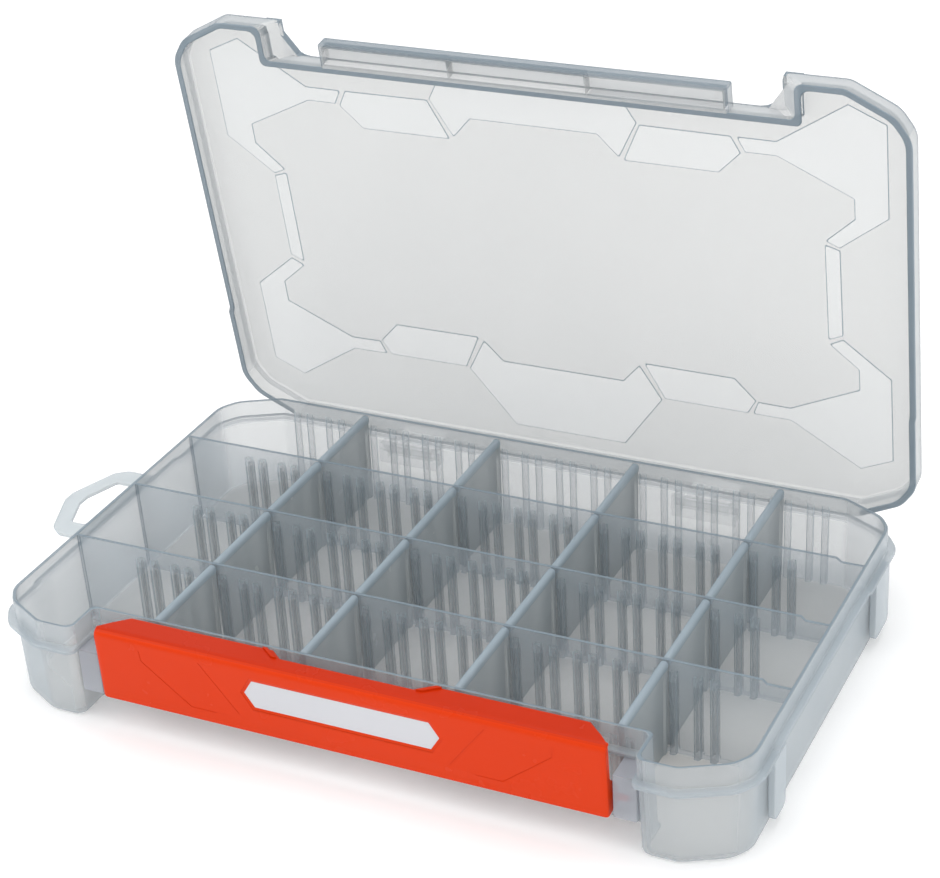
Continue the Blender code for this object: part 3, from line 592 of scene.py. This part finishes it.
def make_tray(mats):
    """Materials: 0 walls, 1 rim, 2 ribs, 3 floor (lightened, partly painted light), 4 flange, 5 partitions, 6
    rib tips (painted highlight) and 7 left seams.
    """
    def flange(reach):
        return outline(-reach, LEG_INNER_X + reach - LEG_GAP)

    bm, outside = loft(
        [
            (outline(DRAFT_BOTTOM + BASE_EDGE), 0.0),
            (outline(DRAFT_BOTTOM + 0.45 * BASE_EDGE), 0.3 * MM),
            (outline(DRAFT_BOTTOM + 0.12 * BASE_EDGE), 1.3 * MM),
            (outline(DRAFT_BOTTOM), BASE_EDGE),
            (outline(DRAFT_TOP), raised(FLANGE_Z - 0.6 * MM)),
            (outline(DRAFT_TOP - 0.5 * MM), raised(FLANGE_Z)),
            (flange(FLANGE_OUT - 0.5 * MM), raised(FLANGE_Z)),
            (flange(FLANGE_OUT - 0.1 * MM), raised(FLANGE_Z + 0.3 * MM)),
            (flange(FLANGE_OUT), raised(FLANGE_Z + 0.9 * MM)),
            (flange(FLANGE_OUT - 0.1 * MM), raised(FLANGE_TOP_Z - 0.4 * MM)),
            (flange(FLANGE_OUT - 0.6 * MM), raised(FLANGE_TOP_Z)),
            (outline(-0.5 * MM), raised(FLANGE_TOP_Z)),
            (outline(0.0), raised(FLANGE_TOP_Z + 0.5 * MM)),
            (outline(0.0), RIM_Z - RIM_ROUND),
            (outline(0.1 * MM), RIM_Z - 0.1 * MM),
            (outline(RIM_ROUND), RIM_Z),
        ],
        cap_last=False,
    )
    for face in bm.faces:
        centre = face.calc_center_median()
        heights = [v.co.z for v in face.verts]
        low_face = max(heights) - min(heights) < 3 * MM
        if low_face and FLANGE_Z - MM < centre.z < FLANGE_TOP_Z + STEP_RISE + 0.3 * MM:
            face.material_index = 4
    rims = [make_row(bm, row) for row in range(ROWS)]
    mark_ribs(bm)
    inner_edge = []
    for row, rim in enumerate(rims):
        turn = min(row_outline(row, WALL, 0.0)[1]) + 1
        right, left = rim[:turn], rim[turn:]
        skip_low = NOTCH_POINTS if row else 0
        skip_high = NOTCH_POINTS if row < ROWS - 1 else 0
        left_part = left[skip_high:len(left) - skip_low]
        right_part = right[skip_low:len(right) - skip_high]
        inner_edge = left_part + inner_edge + right_part
        if row:
            before = rims[row - 1]
            turn_before = min(row_outline(row - 1, WALL, 0.0)[1]) + 1
            near = before[turn_before - NOTCH_POINTS - 1:turn_before + NOTCH_POINTS + 1]
            far = right[:NOTCH_POINTS + 1][::-1] + left[::-1][:NOTCH_POINTS + 1]
            for i in range(len(near) - 1):
                bm.faces.new((near[i], near[i + 1], far[i + 1], far[i])).material_index = 1
    loops = [outside[-1], inner_edge]
    everyone = loops[0] + loops[1]
    for triangle in tessellate_polygon([[v.co.copy() for v in loop] for loop in loops]):
        bm.faces.new([everyone[i] for i in triangle]).material_index = 1
    tray = finish_mesh("tray_shell", bm, mats)
    even_normals(tray)
    return tray


def make_latch_holder(word, mats, bores):
    """The block between the latch's end and the leg, with a bore for the latch's pivot."""
    low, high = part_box(f"latch_bracket_{word}")
    grow = Vector((LEG_GAP, 0, 0))
    low, high = (low, high + grow) if word == "right" else (low - grow, high)
    obj = finish_mesh(f"latch_holder_{word}", box(low, high), mats)
    bevel(obj, 0.6 * MM, 3)
    combine(obj, [tool(bm, mats) for bm in bores], "DIFFERENCE")
    return obj


def make_side_pad(name, node_name, mats):
    low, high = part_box(node_name)
    cut = 3.5 * MM
    corners = [(low.y, high.z), (low.y, low.z), (high.y, low.z), (high.y, high.z)]
    rounded = round_corners([Vector(corner) for corner in corners], [0, cut, cut, 0])
    obj = finish_mesh(name, prism_x([tuple(p) for p in rounded], low.x, high.x), mats)
    bevel(obj, 0.5 * MM, 2)
    return obj


def make_loop(mats):
    """The flat hang loop on the tray's left side, with rounded edges."""
    low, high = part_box("hang_loop")
    root, tip = high.x, low.x
    outer_half = [(root, 31), (root - 13.3 * MM, 31), (root - 19.3 * MM, 26.5), (tip, 3.5)]
    eye_half = [(root - 5.3 * MM, 20), (root - 13.3 * MM, 20), (root - 19.6 * MM, 3)]

    def mirrored(half):
        return [Vector((x, y * MM)) for x, y in half] + [Vector((x, -y * MM)) for x, y in reversed(half)]

    def plate(points, radii, bottom, top, way):
        edge = 0.55 * MM
        rings = [(edge, bottom), (0.16 * MM, bottom + 0.16 * MM), (0.0, bottom + edge)]
        rings += [(0.0, top - edge), (0.16 * MM, top - 0.16 * MM), (edge, top)]
        return loft([(round_corners(offset_outline(points, way * inset), radii), z) for inset, z in rings])[0]

    outer = mirrored(outer_half)
    radii = [0, 5 * MM, 4 * MM, 5 * MM, 5 * MM, 4 * MM, 5 * MM, 0]
    loop = finish_mesh("hang_loop_ring", plate(outer, radii, low.z, high.z, 1.0), mats)
    eye = mirrored(eye_half)
    hole = plate(eye, [2.2 * MM] * len(eye), low.z, high.z, -1.0)
    combine(loop, [tool(hole, mats)], "DIFFERENCE")
    return loop


# ---------------------------------------------------------------- dividers

def divider_mesh(name, low, high, mats):
    """A blade along Y with a rounded rail on top, a shoulder under it and a bead at each end."""
    centre = (low + high) / 2
    half_length = (high.y - low.y) / 2
    height = high.z - low.z
    rail = 1.7 * MM
    rail_low = height - 3.2 * MM
    bead_length = 3.0 * MM

    def section(bead, blade, length):
        y = length - bead_length
        cut = 0.4 * MM
        right = [(bead - cut, -length), (bead, cut - length), (bead, -y - 0.6 * MM), (blade, -y + 0.3 * MM)]
        right += [(blade, y - 0.3 * MM), (bead, y + 0.6 * MM), (bead, length - cut), (bead - cut, length)]
        return [Vector(p) for p in right] + [Vector((-x, y)) for x, y in reversed(right)]

    foot = half_length - 1.4 * MM
    bm, _ = loft(
        [
            (section(1.25 * MM, 0.45 * MM, foot), 0.0),
            (section(1.4 * MM, 0.6 * MM, foot), 0.4 * MM),
            (section(1.4 * MM, 0.6 * MM, half_length - 0.1 * MM), rail_low - 6.0 * MM),
            (section(1.4 * MM, 0.85 * MM, half_length), rail_low - 4.8 * MM),
            (section(1.45 * MM, 0.85 * MM, half_length), rail_low - 0.8 * MM),
            (section(rail - 0.1 * MM, rail - 0.1 * MM, half_length), rail_low),
            (section(rail, rail, half_length), rail_low + 0.3 * MM),
            (section(rail, rail, half_length), height - 1.3 * MM),
            (section(rail - 0.15 * MM, rail - 0.15 * MM, half_length - 0.05 * MM), height - 0.8 * MM),
            (section(rail - 0.5 * MM, rail - 0.5 * MM, half_length - 0.2 * MM), height - 0.3 * MM),
            (section(rail - 1.1 * MM, rail - 1.1 * MM, half_length - 0.5 * MM), height),
        ]
    )
    for face in bm.faces:
        if face.calc_center_median().z > rail_low - 0.4 * MM:
            face.material_index = 1
    bmesh.ops.translate(bm, vec=(centre.x, centre.y, low.z), verts=bm.verts)
    return finish_mesh(name, bm, mats)


# ---------------------------------------------------------------- lid

LID_TURN = (
    Matrix.Translation((0, HINGE_Y, HINGE_Z))
    @ Matrix.Rotation(-math.radians(LID_OPEN_DEG), 4, "X")
    @ Matrix.Translation((0, -HINGE_Y, -HINGE_Z))
)

# The lid's fields and corner plates as (x, y) in millimetres, seen from above with the lid shut.
CORNER_FRONT = (
    (96.2, -78.0), (114.2, -78.0), (146.4, -99.9), (163.2, -91.9), (163.2, -45.6), (140.7, -27.3),
    (134.2, -30.3), (147.8, -43.5), (147.8, -53.6), (114.2, -70.5), (99.8, -70.5),
)
CORNER_REAR = (
    (98.6, 64.3), (114.3, 64.6), (147.6, 48.0), (147.6, 36.7), (134.2, 24.8), (140.9, 21.2),
    (162.9, 39.6), (162.9, 86.0), (147.2, 93.8), (114.3, 72.0), (95.8, 71.8),
)
HEX_FRONT = ((51.6, -78.3), (93.8, -78.0), (98.0, -69.8), (87.2, -58.7), (42.5, -58.8))
HEX_REAR = ((42.9, 52.2), (87.8, 52.5), (97.9, 63.8), (93.4, 71.8), (52.0, 71.6))
SIDE_BAR = ((133.9, -28.6), (141.0, -26.3), (141.0, 19.3), (133.9, 22.7))
MIDDLE_FRONT = ((44.2, -90.5), (50.6, -79.0), (40.6, -60.0), (30.9, -70.8))
MIDDLE_REAR = ((40.5, 53.7), (31.3, 64.4), (50.6, 72.4), (29.0, 103.0))
CORNER_PLATE = (
    (128.0, -112.3), (120.2, -112.3), (120.2, -106.2), (113.4, -96.4), (111.4, -95.2), (104.0, -93.8),
    (128.0, -93.8),
)


def panel_outlines():
    """The outlines of all the lid's shallow decorative fields."""
    outlines = []
    for shape in (CORNER_FRONT, CORNER_REAR, HEX_FRONT, HEX_REAR, SIDE_BAR):
        outlines.append([(x, y) for x, y in shape])
        outlines.append([(-x, y) for x, y in shape])
    front = MIDDLE_FRONT
    outlines.append([*front, *((-x, y) for x, y in reversed(front))])
    first, second, third, fourth = MIDDLE_REAR
    rear = [second, first, third, fourth]
    outlines.append([*rear, *((-x, y) for x, y in reversed(rear))])
    return outlines


def counter_clockwise(points):
    area = sum(a.x * b.y - b.x * a.y for a, b in zip(points, points[1:] + points[:1]))
    return points if area > 0 else points[::-1]


def panel_tool(points_mm, mats):
    points = counter_clockwise([Vector((x * MM, y * MM)) for x, y in points_mm])
    radii = [0.8 * MM] * len(points)
    rings = [
        (offset_outline(points, PANEL_SLOPE), LID_TOP_Z - PANEL_DEPTH),
        (points, LID_TOP_Z),
        (offset_outline(points, -PANEL_SLOPE), LID_TOP_Z + PANEL_DEPTH),
    ]
    bm, _ = loft([(round_corners(corners, radii, 3), z) for corners, z in rings], index=3)
    for face in bm.faces:
        if len(face.verts) > 4:
            face.material_index = 2
    return tool(bm, mats)


def lid_height(z):
    """The lid's lip follows the tray's flange: it steps down behind the sides."""
    def height(point):
        return z + STEP_RISE if point.y < STEP_REAR_Y + 0.1 * STEP_RUN else z
    return height


def make_lid(mats):
    """Materials: 0 lid, 1 lip, 2 fields, 3 their borders, 4 front walls, 5 rounded outer edge, 6 straps."""
    edge = LID_ROUND

    def outer(inset):
        return outline(LID_OUTER + inset, LID_NOTCH_X, LID_FRONT_Y)

    def inner(inset):
        return outline(LID_INNER + inset, LID_NOTCH_X - LID_OUTER, LID_FRONT_Y)

    rings = [
        (inner(1.4 * MM), LID_CEILING_Z),
        (inner(0.5 * MM), LID_CEILING_Z - 0.35 * MM),
        (inner(0.1 * MM), LID_CEILING_Z - 1.1 * MM),
        (outline(LID_INNER, LEG_INNER_X, LID_FRONT_Y), lid_height(LID_LIP_Z + 0.4 * MM)),
        (outline(LID_INNER - 0.4 * MM, LEG_INNER_X, LID_FRONT_Y), lid_height(LID_LIP_Z)),
        (outline(LID_OUTER + 0.4 * MM, LEG_INNER_X, LID_FRONT_Y), lid_height(LID_LIP_Z)),
        (outline(LID_OUTER, LEG_INNER_X, LID_FRONT_Y), lid_height(LID_LIP_Z + 0.4 * MM)),
        (outer(0.0), LID_TOP_Z - edge),
        (outer(0.12 * edge), LID_TOP_Z - 0.5 * edge),
        (outer(0.42 * edge), LID_TOP_Z - 0.16 * edge),
        (outer(edge), LID_TOP_Z),
    ]
    bm, _ = loft(rings)
    for face in bm.faces:
        heights = [v.co.z for v in face.verts]
        if max(heights) < LID_LIP_Z + STEP_RISE + 0.6 * MM and max(heights) - min(heights) < 2.5 * MM:
            face.material_index = 0 if face.calc_center_median().y > BACK_Y - 2 * MM else 1
        elif max(heights) > LID_CEILING_Z + 0.1 * MM and min(heights) < LID_TOP_Z - 0.3 * edge:
            face.material_index = 5
        elif min(heights) < LID_CEILING_Z - 2 * MM and face.calc_center_median().y < FRONT_WALL_Y - 2 * MM:
            face.material_index = 4
    lid = finish_mesh("lid_shell", bm, mats)
    combine(lid, [panel_tool(points, mats) for points in panel_outlines()], "DIFFERENCE")
    combine(lid, lid_additions(mats), "UNION")
    lid.data.transform(LID_TURN)
    return lid


def lid_additions(mats):
    """The catch bar, the corner plates over the notch and the hinge straps, all moulded with the lid."""
    half = 97.5 * MM
    front_y, back_y = -107.4 * MM, FRONT_WALL_Y - 2.2 * MM
    bottom, top = 39.6 * MM, 46.8 * MM
    bar = finish_mesh("tool", box((-half, front_y, bottom), (half, back_y, top)), mats)
    bevel(bar, 1.0 * MM, 3)
    bays = [-half + CATCH_WALL, -half / 3 - 0.4 * MM, half / 3 + 0.4 * MM, half - CATCH_WALL]
    pockets = []
    for low_x, high_x in zip(bays, bays[1:]):
        low = (low_x + 0.4 * MM, front_y + CATCH_WALL, bottom - MM)
        high = (high_x - 0.4 * MM, FRONT_WALL_Y - 3.4 * MM - CATCH_WALL, top - CATCH_WALL)
        pockets.append(tool(box(low, high), mats))
    combine(bar, pockets, "DIFFERENCE")
    for face in bar.data.polygons:
        square = max(abs(part) for part in face.normal) > 0.98
        foremost = face.center.y < front_y + 0.6 * MM
        face.material_index = 5 if foremost or not square else 4
    added = [bar]
    for side in (-1, 1):
        points = counter_clockwise([Vector((side * x * MM, y * MM)) for x, y in CORNER_PLATE])
        levels = (LID_CEILING_Z - 2 * MM, LID_TOP_Z - 0.05 * MM)
        gusset = tool(loft([(points, level) for level in levels], index=4)[0], mats)
        for face in gusset.data.polygons:
            if abs(face.normal.z) < 0.5:
                face.material_index = 1
        added.append(gusset)
    for word in ("left", "right"):
        low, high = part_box(f"lid_lug_{word}")
        strap = tool(prism_x(strap_profile(), low.x, high.x, 6), mats)
        bore = cylinder_x(BORE_RADIUS, low.x - MM, high.x + MM, HINGE_Y, HINGE_Z, index=6)
        combine(strap, [tool(bore, mats)], "DIFFERENCE")
        added.append(strap)
    return added


def strap_profile():
    """The hinge strap and its barrel in (y, z), lid shut."""
    radius = 2.8 * MM
    root_y = BACK_Y + 3.0 * MM
    strap_y = BACK_Y + FLANGE_OUT + 0.3 * MM
    outer_y = strap_y + 2.0 * MM
    arc = []
    for k in range(21):
        turn = math.radians(45 - 15 * k)
        arc.append((HINGE_Y + radius * math.cos(turn), HINGE_Z + radius * math.sin(turn)))
    upper = [(strap_y, 38.3 * MM), (root_y, 38.3 * MM), (root_y, 46.0 * MM), (outer_y - 0.6 * MM, 46.0 * MM)]
    return arc + upper + [(outer_y, 45.4 * MM)]


# ---------------------------------------------------------------- latch

LATCH_HALF = 118.5 * MM
LATCH_BOTTOM_Z = 14.2 * MM
LATCH_TOP_Z = 50.3 * MM
LATCH_FOOT_Y = -108.6 * MM
LATCH_HEAD_Y = -110.2 * MM
LATCH_BACK_Y = -96.5 * MM
LATCH_WALL = 2.0 * MM
SHELF_WALL = 2.4 * MM
WEB_PLACES = (30.0, 60.0, 90.0)
WEB_HALF = 0.6 * MM
STUB_RADIUS = 1.4 * MM
STUB_END_X = 123.7 * MM
GROOVE_WIDTH = 0.9 * MM


def face_y(z):
    """The latch's front face leans out towards its top."""
    share = (z - LATCH_BOTTOM_Z) / (LATCH_TOP_Z - LATCH_BOTTOM_Z)
    return LATCH_FOOT_Y + (LATCH_HEAD_Y - LATCH_FOOT_Y) * share


def front_prism(points, depth_front, depth_back, taper):
    """A slab that follows the latch's leaning face. points are (x, z) outlines in metres."""
    flat = counter_clockwise([Vector(p) for p in points])
    bm = bmesh.new()
    layers = []
    for depth, inset in ((depth_front, 0.0), (depth_back, taper)):
        corners = offset_outline(flat, inset)
        layers.append([bm.verts.new((p.x, face_y(p.y) + depth, p.y)) for p in corners])
    skin(bm, *layers)
    bm.faces.new(list(reversed(layers[0])))
    bm.faces.new(layers[1])
    return bm


def stroke(points_mm, width):
    """A closed outline along an open path of (x, z) points."""
    path = [Vector((x * MM, z * MM)) for x, z in points_mm]
    left, right = [], []
    for i, here in enumerate(path):
        before = (here - path[i - 1]).normalized() if i else None
        after = (path[i + 1] - here).normalized() if i + 1 < len(path) else None
        first, last = before or after, after or before
        normal = (Vector((-first.y, first.x)) + Vector((-last.y, last.x))).normalized()
        reach = width / 2 / max(0.5, normal.dot(Vector((-first.y, first.x))))
        left.append(here + normal * reach)
        right.append(here - normal * reach)
    return left + right[::-1]


def label_outline(grow):
    half, tip, height, middle = 41.2 * MM + grow / 2, 45.6 * MM + grow, 6.8 * MM + grow, 34.9 * MM
    corners = [(-tip, middle), (-half, middle - height), (half, middle - height), (tip, middle)]
    return corners + [(half, middle + height), (-half, middle + height)]


def flared(points, low, top, mats):
    """A cutter that goes down from a surface at height top and rounds the edge it leaves there."""
    flat = counter_clockwise([Vector(p) for p in points])
    flare = [(0.0, -0.5), (-0.15, -0.15), (-0.5, 0.0), (-1.5, 1.0)]
    rings = [(flat, low)] + [(offset_outline(flat, inset * MM), top + up * MM) for inset, up in flare]
    return tool(loft(rings)[0], mats)


def make_latch(mats):
    """Materials: 0 face and body, 1 the rounded edge of the shelf and 2 the shelf's top, both darker copies
    of the orange: painted shade.
    """
    shelf_z = LATCH_TOP_Z - SHELF_WALL
    points = [
        (LATCH_FOOT_Y, LATCH_BOTTOM_Z),
        (LATCH_BACK_Y - 2.5 * MM, LATCH_BOTTOM_Z + 0.6 * MM),
        (LATCH_BACK_Y - 0.5 * MM, LATCH_BOTTOM_Z + 3 * MM),
        (LATCH_BACK_Y - 0.5 * MM, LATCH_PIVOT_Z + 3 * MM),
        (-105.4 * MM, LATCH_PIVOT_Z + 12 * MM),
        (-106.4 * MM, shelf_z),
        (LATCH_BACK_Y, shelf_z),
        (LATCH_BACK_Y, LATCH_TOP_Z),
        (LATCH_HEAD_Y, LATCH_TOP_Z),
    ]
    side_view = [Vector(p) for p in points]
    radii = [r * MM for r in (0.8, 1.5, 1.5, 3, 3, 0.4, 0.35, 0.35, 3.6)]
    ends = [(0.0, 0.8), (0.2, 0.45), (0.7, 0.15), (1.5, 0.03), (2.2, 0.0)]
    ends = [(along * MM - LATCH_HALF, inset * MM) for along, inset in ends]
    ends += [(-along, inset) for along, inset in reversed(ends)]
    bm, _ = loft([(round_corners(offset_outline(side_view, inset), radii), along) for along, inset in ends])
    from_side = Matrix(((0, 0, 1, 0), (1, 0, 0, 0), (0, 1, 0, 0), (0, 0, 0, 1)))
    bmesh.ops.transform(bm, matrix=from_side, verts=bm.verts)
    latch = finish_mesh("latch_bar", bm, mats)

    inside = [
        Vector((LATCH_FOOT_Y + LATCH_WALL - 0.05 * MM, LATCH_BOTTOM_Z - MM)),
        Vector((LATCH_BACK_Y + MM, LATCH_BOTTOM_Z - MM)),
        Vector((LATCH_BACK_Y + MM, shelf_z - 0.1 * MM)),
        Vector((LATCH_HEAD_Y + LATCH_WALL, shelf_z - 0.1 * MM)),
    ]
    reach = LATCH_HALF - LATCH_WALL
    hollow = prism_x([tuple(p) for p in round_corners(inside, [0, 0, 0, 1.5 * MM])], -reach, reach)
    cut = [tool(hollow, mats)]
    joined = []
    for side in (-1, 1):
        for web_place in WEB_PLACES:
            web = [
                (LATCH_FOOT_Y + MM, LATCH_BOTTOM_Z + 2 * MM),
                (LATCH_FOOT_Y + 4 * MM, LATCH_BOTTOM_Z + 2 * MM),
                (LATCH_FOOT_Y + 5 * MM, LATCH_TOP_Z - 15 * MM),
                (LATCH_FOOT_Y + 3 * MM, LATCH_TOP_Z - 12 * MM),
                (face_y(LATCH_TOP_Z - 12 * MM) + MM, LATCH_TOP_Z - 12 * MM),
            ]
            centre_x = side * web_place * MM
            joined.append(tool(prism_x(web, centre_x - WEB_HALF, centre_x + WEB_HALF), mats))
        stub = sorted((side * (LATCH_HALF - MM), side * STUB_END_X))
        joined.append(tool(cylinder_x(STUB_RADIUS, *stub, LATCH_PIVOT_Y, LATCH_PIVOT_Z), mats))
        corner = [(side * 105.9 * MM, LATCH_BACK_Y + MM), (side * 121 * MM, LATCH_BACK_Y + MM)]
        corner += [(side * 121 * MM, LATCH_BACK_Y - 10 * MM), (side * 117.6 * MM, LATCH_BACK_Y - 10 * MM)]
        corner += [(side * 114.4 * MM, LATCH_BACK_Y - 6.6 * MM)]
        cut.append(flared(corner, LATCH_TOP_Z - 5 * MM, LATCH_TOP_Z, mats))
        tab = [(side * 32.4 * MM, LATCH_BACK_Y - 5.4 * MM), (side * 35.0 * MM, LATCH_BACK_Y - 5.4 * MM)]
        tab += [(side * 41.8 * MM, LATCH_BACK_Y - 0.3 * MM), (side * 39.2 * MM, LATCH_BACK_Y - 0.3 * MM)]
        flat = counter_clockwise([Vector(p) for p in tab])
        rise = [(0.0, -1.0), (0.0, 0.7), (0.15, 1.0), (0.5, 1.1)]
        rings = [(offset_outline(flat, inset * MM), LATCH_TOP_Z + up * MM) for inset, up in rise]
        joined.append(tool(loft(rings)[0], mats))
    notch = [(-38 * MM, LATCH_BACK_Y + MM), (-31 * MM, LATCH_BACK_Y - 4.6 * MM)]
    notch += [(31 * MM, LATCH_BACK_Y - 4.6 * MM), (38 * MM, LATCH_BACK_Y + MM)]
    cut.append(flared(notch, LATCH_TOP_Z - 4.4 * MM, LATCH_TOP_Z, mats))
    relief = [
        ((-96.0, 44.6), (-95.4, 39.0), (-73.0, 20.6), (-60.5, 20.6)),
        ((96.0, 44.6), (95.4, 39.0), (73.0, 20.6), (60.5, 20.6)),
        ((66.5, 45.4), (49.0, 22.4)),
        ((-66.5, 45.4), (-49.0, 22.4)),
    ]
    cut += [tool(front_prism(stroke(path, GROOVE_WIDTH), -MM, 0.2 * MM, 0.3 * MM), mats) for path in relief]
    cut.append(tool(front_prism(label_outline(1.8 * MM), -MM, 0.4 * MM, 0.4 * MM), mats))
    cut.append(tool(front_prism(label_outline(0.6 * MM), -MM, 1.2 * MM, 0.9 * MM), mats))
    combine(latch, cut, "DIFFERENCE")
    combine(latch, joined, "UNION")
    # The shelf's top and its rounded edge take darker copies of the orange: painted shade, darkest on the
    # flat top.
    for face in latch.data.polygons:
        if face.center.z > LATCH_TOP_Z - 1.5 * MM:
            face.material_index = 2 if face.normal.z > 0.9 else 1
    return latch


# ---------------------------------------------------------------- stage

def make_stage():
    bm = bmesh.new()
    bmesh.ops.create_grid(bm, x_segments=1, y_segments=1, size=6.0)
    paper = plastic("floor_paper", (0.93, 0.93, 0.93), (0.92, 0.92, 0.92), 0.9)
    glow = paper.node_tree.nodes["Principled BSDF"]
    glow.inputs["Emission Color"].default_value = (1.0, 1.0, 1.0, 1.0)
    glow.inputs["Emission Strength"].default_value = 0.16
    floor = finish_mesh("floor", bm, [paper])
    floor.location.z = -0.2 * MM

    world = bpy.data.worlds.new("studio")
    world.use_nodes = True
    tree = world.node_tree
    sky = tree.nodes["Background"]
    sky.inputs["Strength"].default_value = 1.0
    coords = tree.nodes.new("ShaderNodeTexCoord")
    split = tree.nodes.new("ShaderNodeSeparateXYZ")
    tree.links.new(coords.outputs["Generated"], split.inputs[0])
    dome = blend_colours(tree, split.outputs["Z"], (0.50, 0.51, 0.52), (1.05, 1.05, 1.05))
    tree.links.new(dome, sky.inputs["Color"])
    bpy.context.scene.world = world

    def area(name, place, target, size, power):
        light = bpy.data.lights.new(name, "AREA")
        light.shape = "RECTANGLE"
        light.size, light.size_y = size
        light.energy = power
        lamp = bpy.data.objects.new(name, light)
        lamp.location = place
        lamp.rotation_euler = (Vector(target) - Vector(place)).to_track_quat("-Z", "Y").to_euler()
        bpy.context.scene.collection.objects.link(lamp)

    area("softbox_top", (0.1, 0.2, 1.9), (0, 0, 0), (1.6, 1.6), 9.0)
    area("softbox_left", (-1.4, -0.9, 1.1), (0, 0, 0.05), (0.9, 1.2), 6.0)
    area("softbox_right", (1.6, -0.5, 0.9), (0, 0, 0.05), (0.5, 1.2), 3.5)


CAMERA_AZIMUTH = math.radians(26.84)
CAMERA_ELEVATION = math.radians(28.67)
CAMERA_ROLL = math.radians(-3.53)
CAMERA_PLACE = (0.4138, -0.7930, 0.5961)
CAMERA_LENS_MM = 90.18


def make_camera():
    azimuth, elevation, roll = CAMERA_AZIMUTH, CAMERA_ELEVATION, CAMERA_ROLL
    back = Vector((
        math.sin(azimuth) * math.cos(elevation),
        -math.cos(azimuth) * math.cos(elevation),
        math.sin(elevation),
    ))
    level = Vector((0, 0, 1)).cross(back).normalized()
    up = back.cross(level)
    right = math.cos(roll) * level + math.sin(roll) * up
    up = -math.sin(roll) * level + math.cos(roll) * up
    camera = bpy.data.objects.new("camera", bpy.data.cameras.new("camera"))
    camera.data.sensor_width = 36.0
    camera.data.lens = CAMERA_LENS_MM
    camera.matrix_world = Matrix((
        (right.x, up.x, back.x, CAMERA_PLACE[0]),
        (right.y, up.y, back.y, CAMERA_PLACE[1]),
        (right.z, up.z, back.z, CAMERA_PLACE[2]),
        (0, 0, 0, 1),
    ))
    bpy.context.scene.collection.objects.link(camera)
    bpy.context.scene.camera = camera


# ---------------------------------------------------------------- assembly

def show_tray(mats):
    parts = ("tray_wall", "tray_rim", "tray_rib", "tray_floor", "tray_flange")
    parts += ("tray_partition", "rib_tip_painted_highlight", "tray_seam")
    partitions = ("partition_front", "partition_middle", "partition_rear")
    show(make_tray([mats[part] for part in parts]), "tray", "tray", "tray", *partitions)
    for word in ("left", "right"):
        low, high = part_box(f"latch_bracket_{word}")
        inner_x = low.x if word == "right" else high.x
        bore = cylinder_x(BORE_RADIUS, inner_x - 5 * MM, inner_x + 5 * MM, LATCH_PIVOT_Y, LATCH_PIVOT_Z)
        holder = make_latch_holder(word, [mats["latch_holder"]], [bore])
        show(holder, "tray", "tray", f"latch_bracket_{word}")
        pad_mat = mats["side_pad" if word == "right" else "tray_bracket"]
        for place in ("front", "rear"):
            pad_name = f"side_pad_{place}_{word}"
            pad = make_side_pad(f"pad_{place}_{word}", pad_name, [pad_mat])
            show(pad, "tray", "tray", pad_name)
        for kind in ("hinge_bracket", "hinge_pin"):
            paint_node(f"{kind}_{word}", mats["tray_bracket"])
    show(make_loop([mats["loop_plastic"]]), "tray", "loop", "hang_loop")


def show_dividers(mats):
    for row in range(ROWS):
        for column in range(COLUMNS - 1):
            name = f"divider_row{row + 1}_col{column + 1}"
            piece_name = f"blade_row{row + 1}_col{column + 1}"
            piece = divider_mesh(piece_name, *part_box(name), [mats["divider_blade"], mats["divider_rail"]])
            show(piece, name, "divider", name)


def show_lid(mats):
    parts = ("lid_clear", "lid_lip", "lid_field", "lid_border", "lid_wall", "lid_edge", "tray_bracket")
    lid = make_lid([mats[part] for part in parts])
    show(lid, "lid", "lid", "lid", "catch_bar", "lid_lug_left", "lid_lug_right")


def show_latch(mats):
    latch = make_latch([mats[part] for part in ("latch_orange", "latch_edge_painted_shade", "latch_top_painted_shade")])
    show(latch, "latch", "latch", "latch")
    paint_node("label_insert", mats["label_card"])


def main():
    mats = make_materials()
    show_tray(mats)
    show_dividers(mats)
    show_lid(mats)
    show_latch(mats)
    make_stage()
    make_camera()
    scene = bpy.context.scene
    scene.view_settings.view_transform = "Standard"
    scene.cycles.transparent_max_bounces = 64
    scene.cycles.max_bounces = 4
    scene.cycles.diffuse_bounces = 2
    scene.cycles.glossy_bounces = 2
    scene.cycles.use_denoising = True


main()
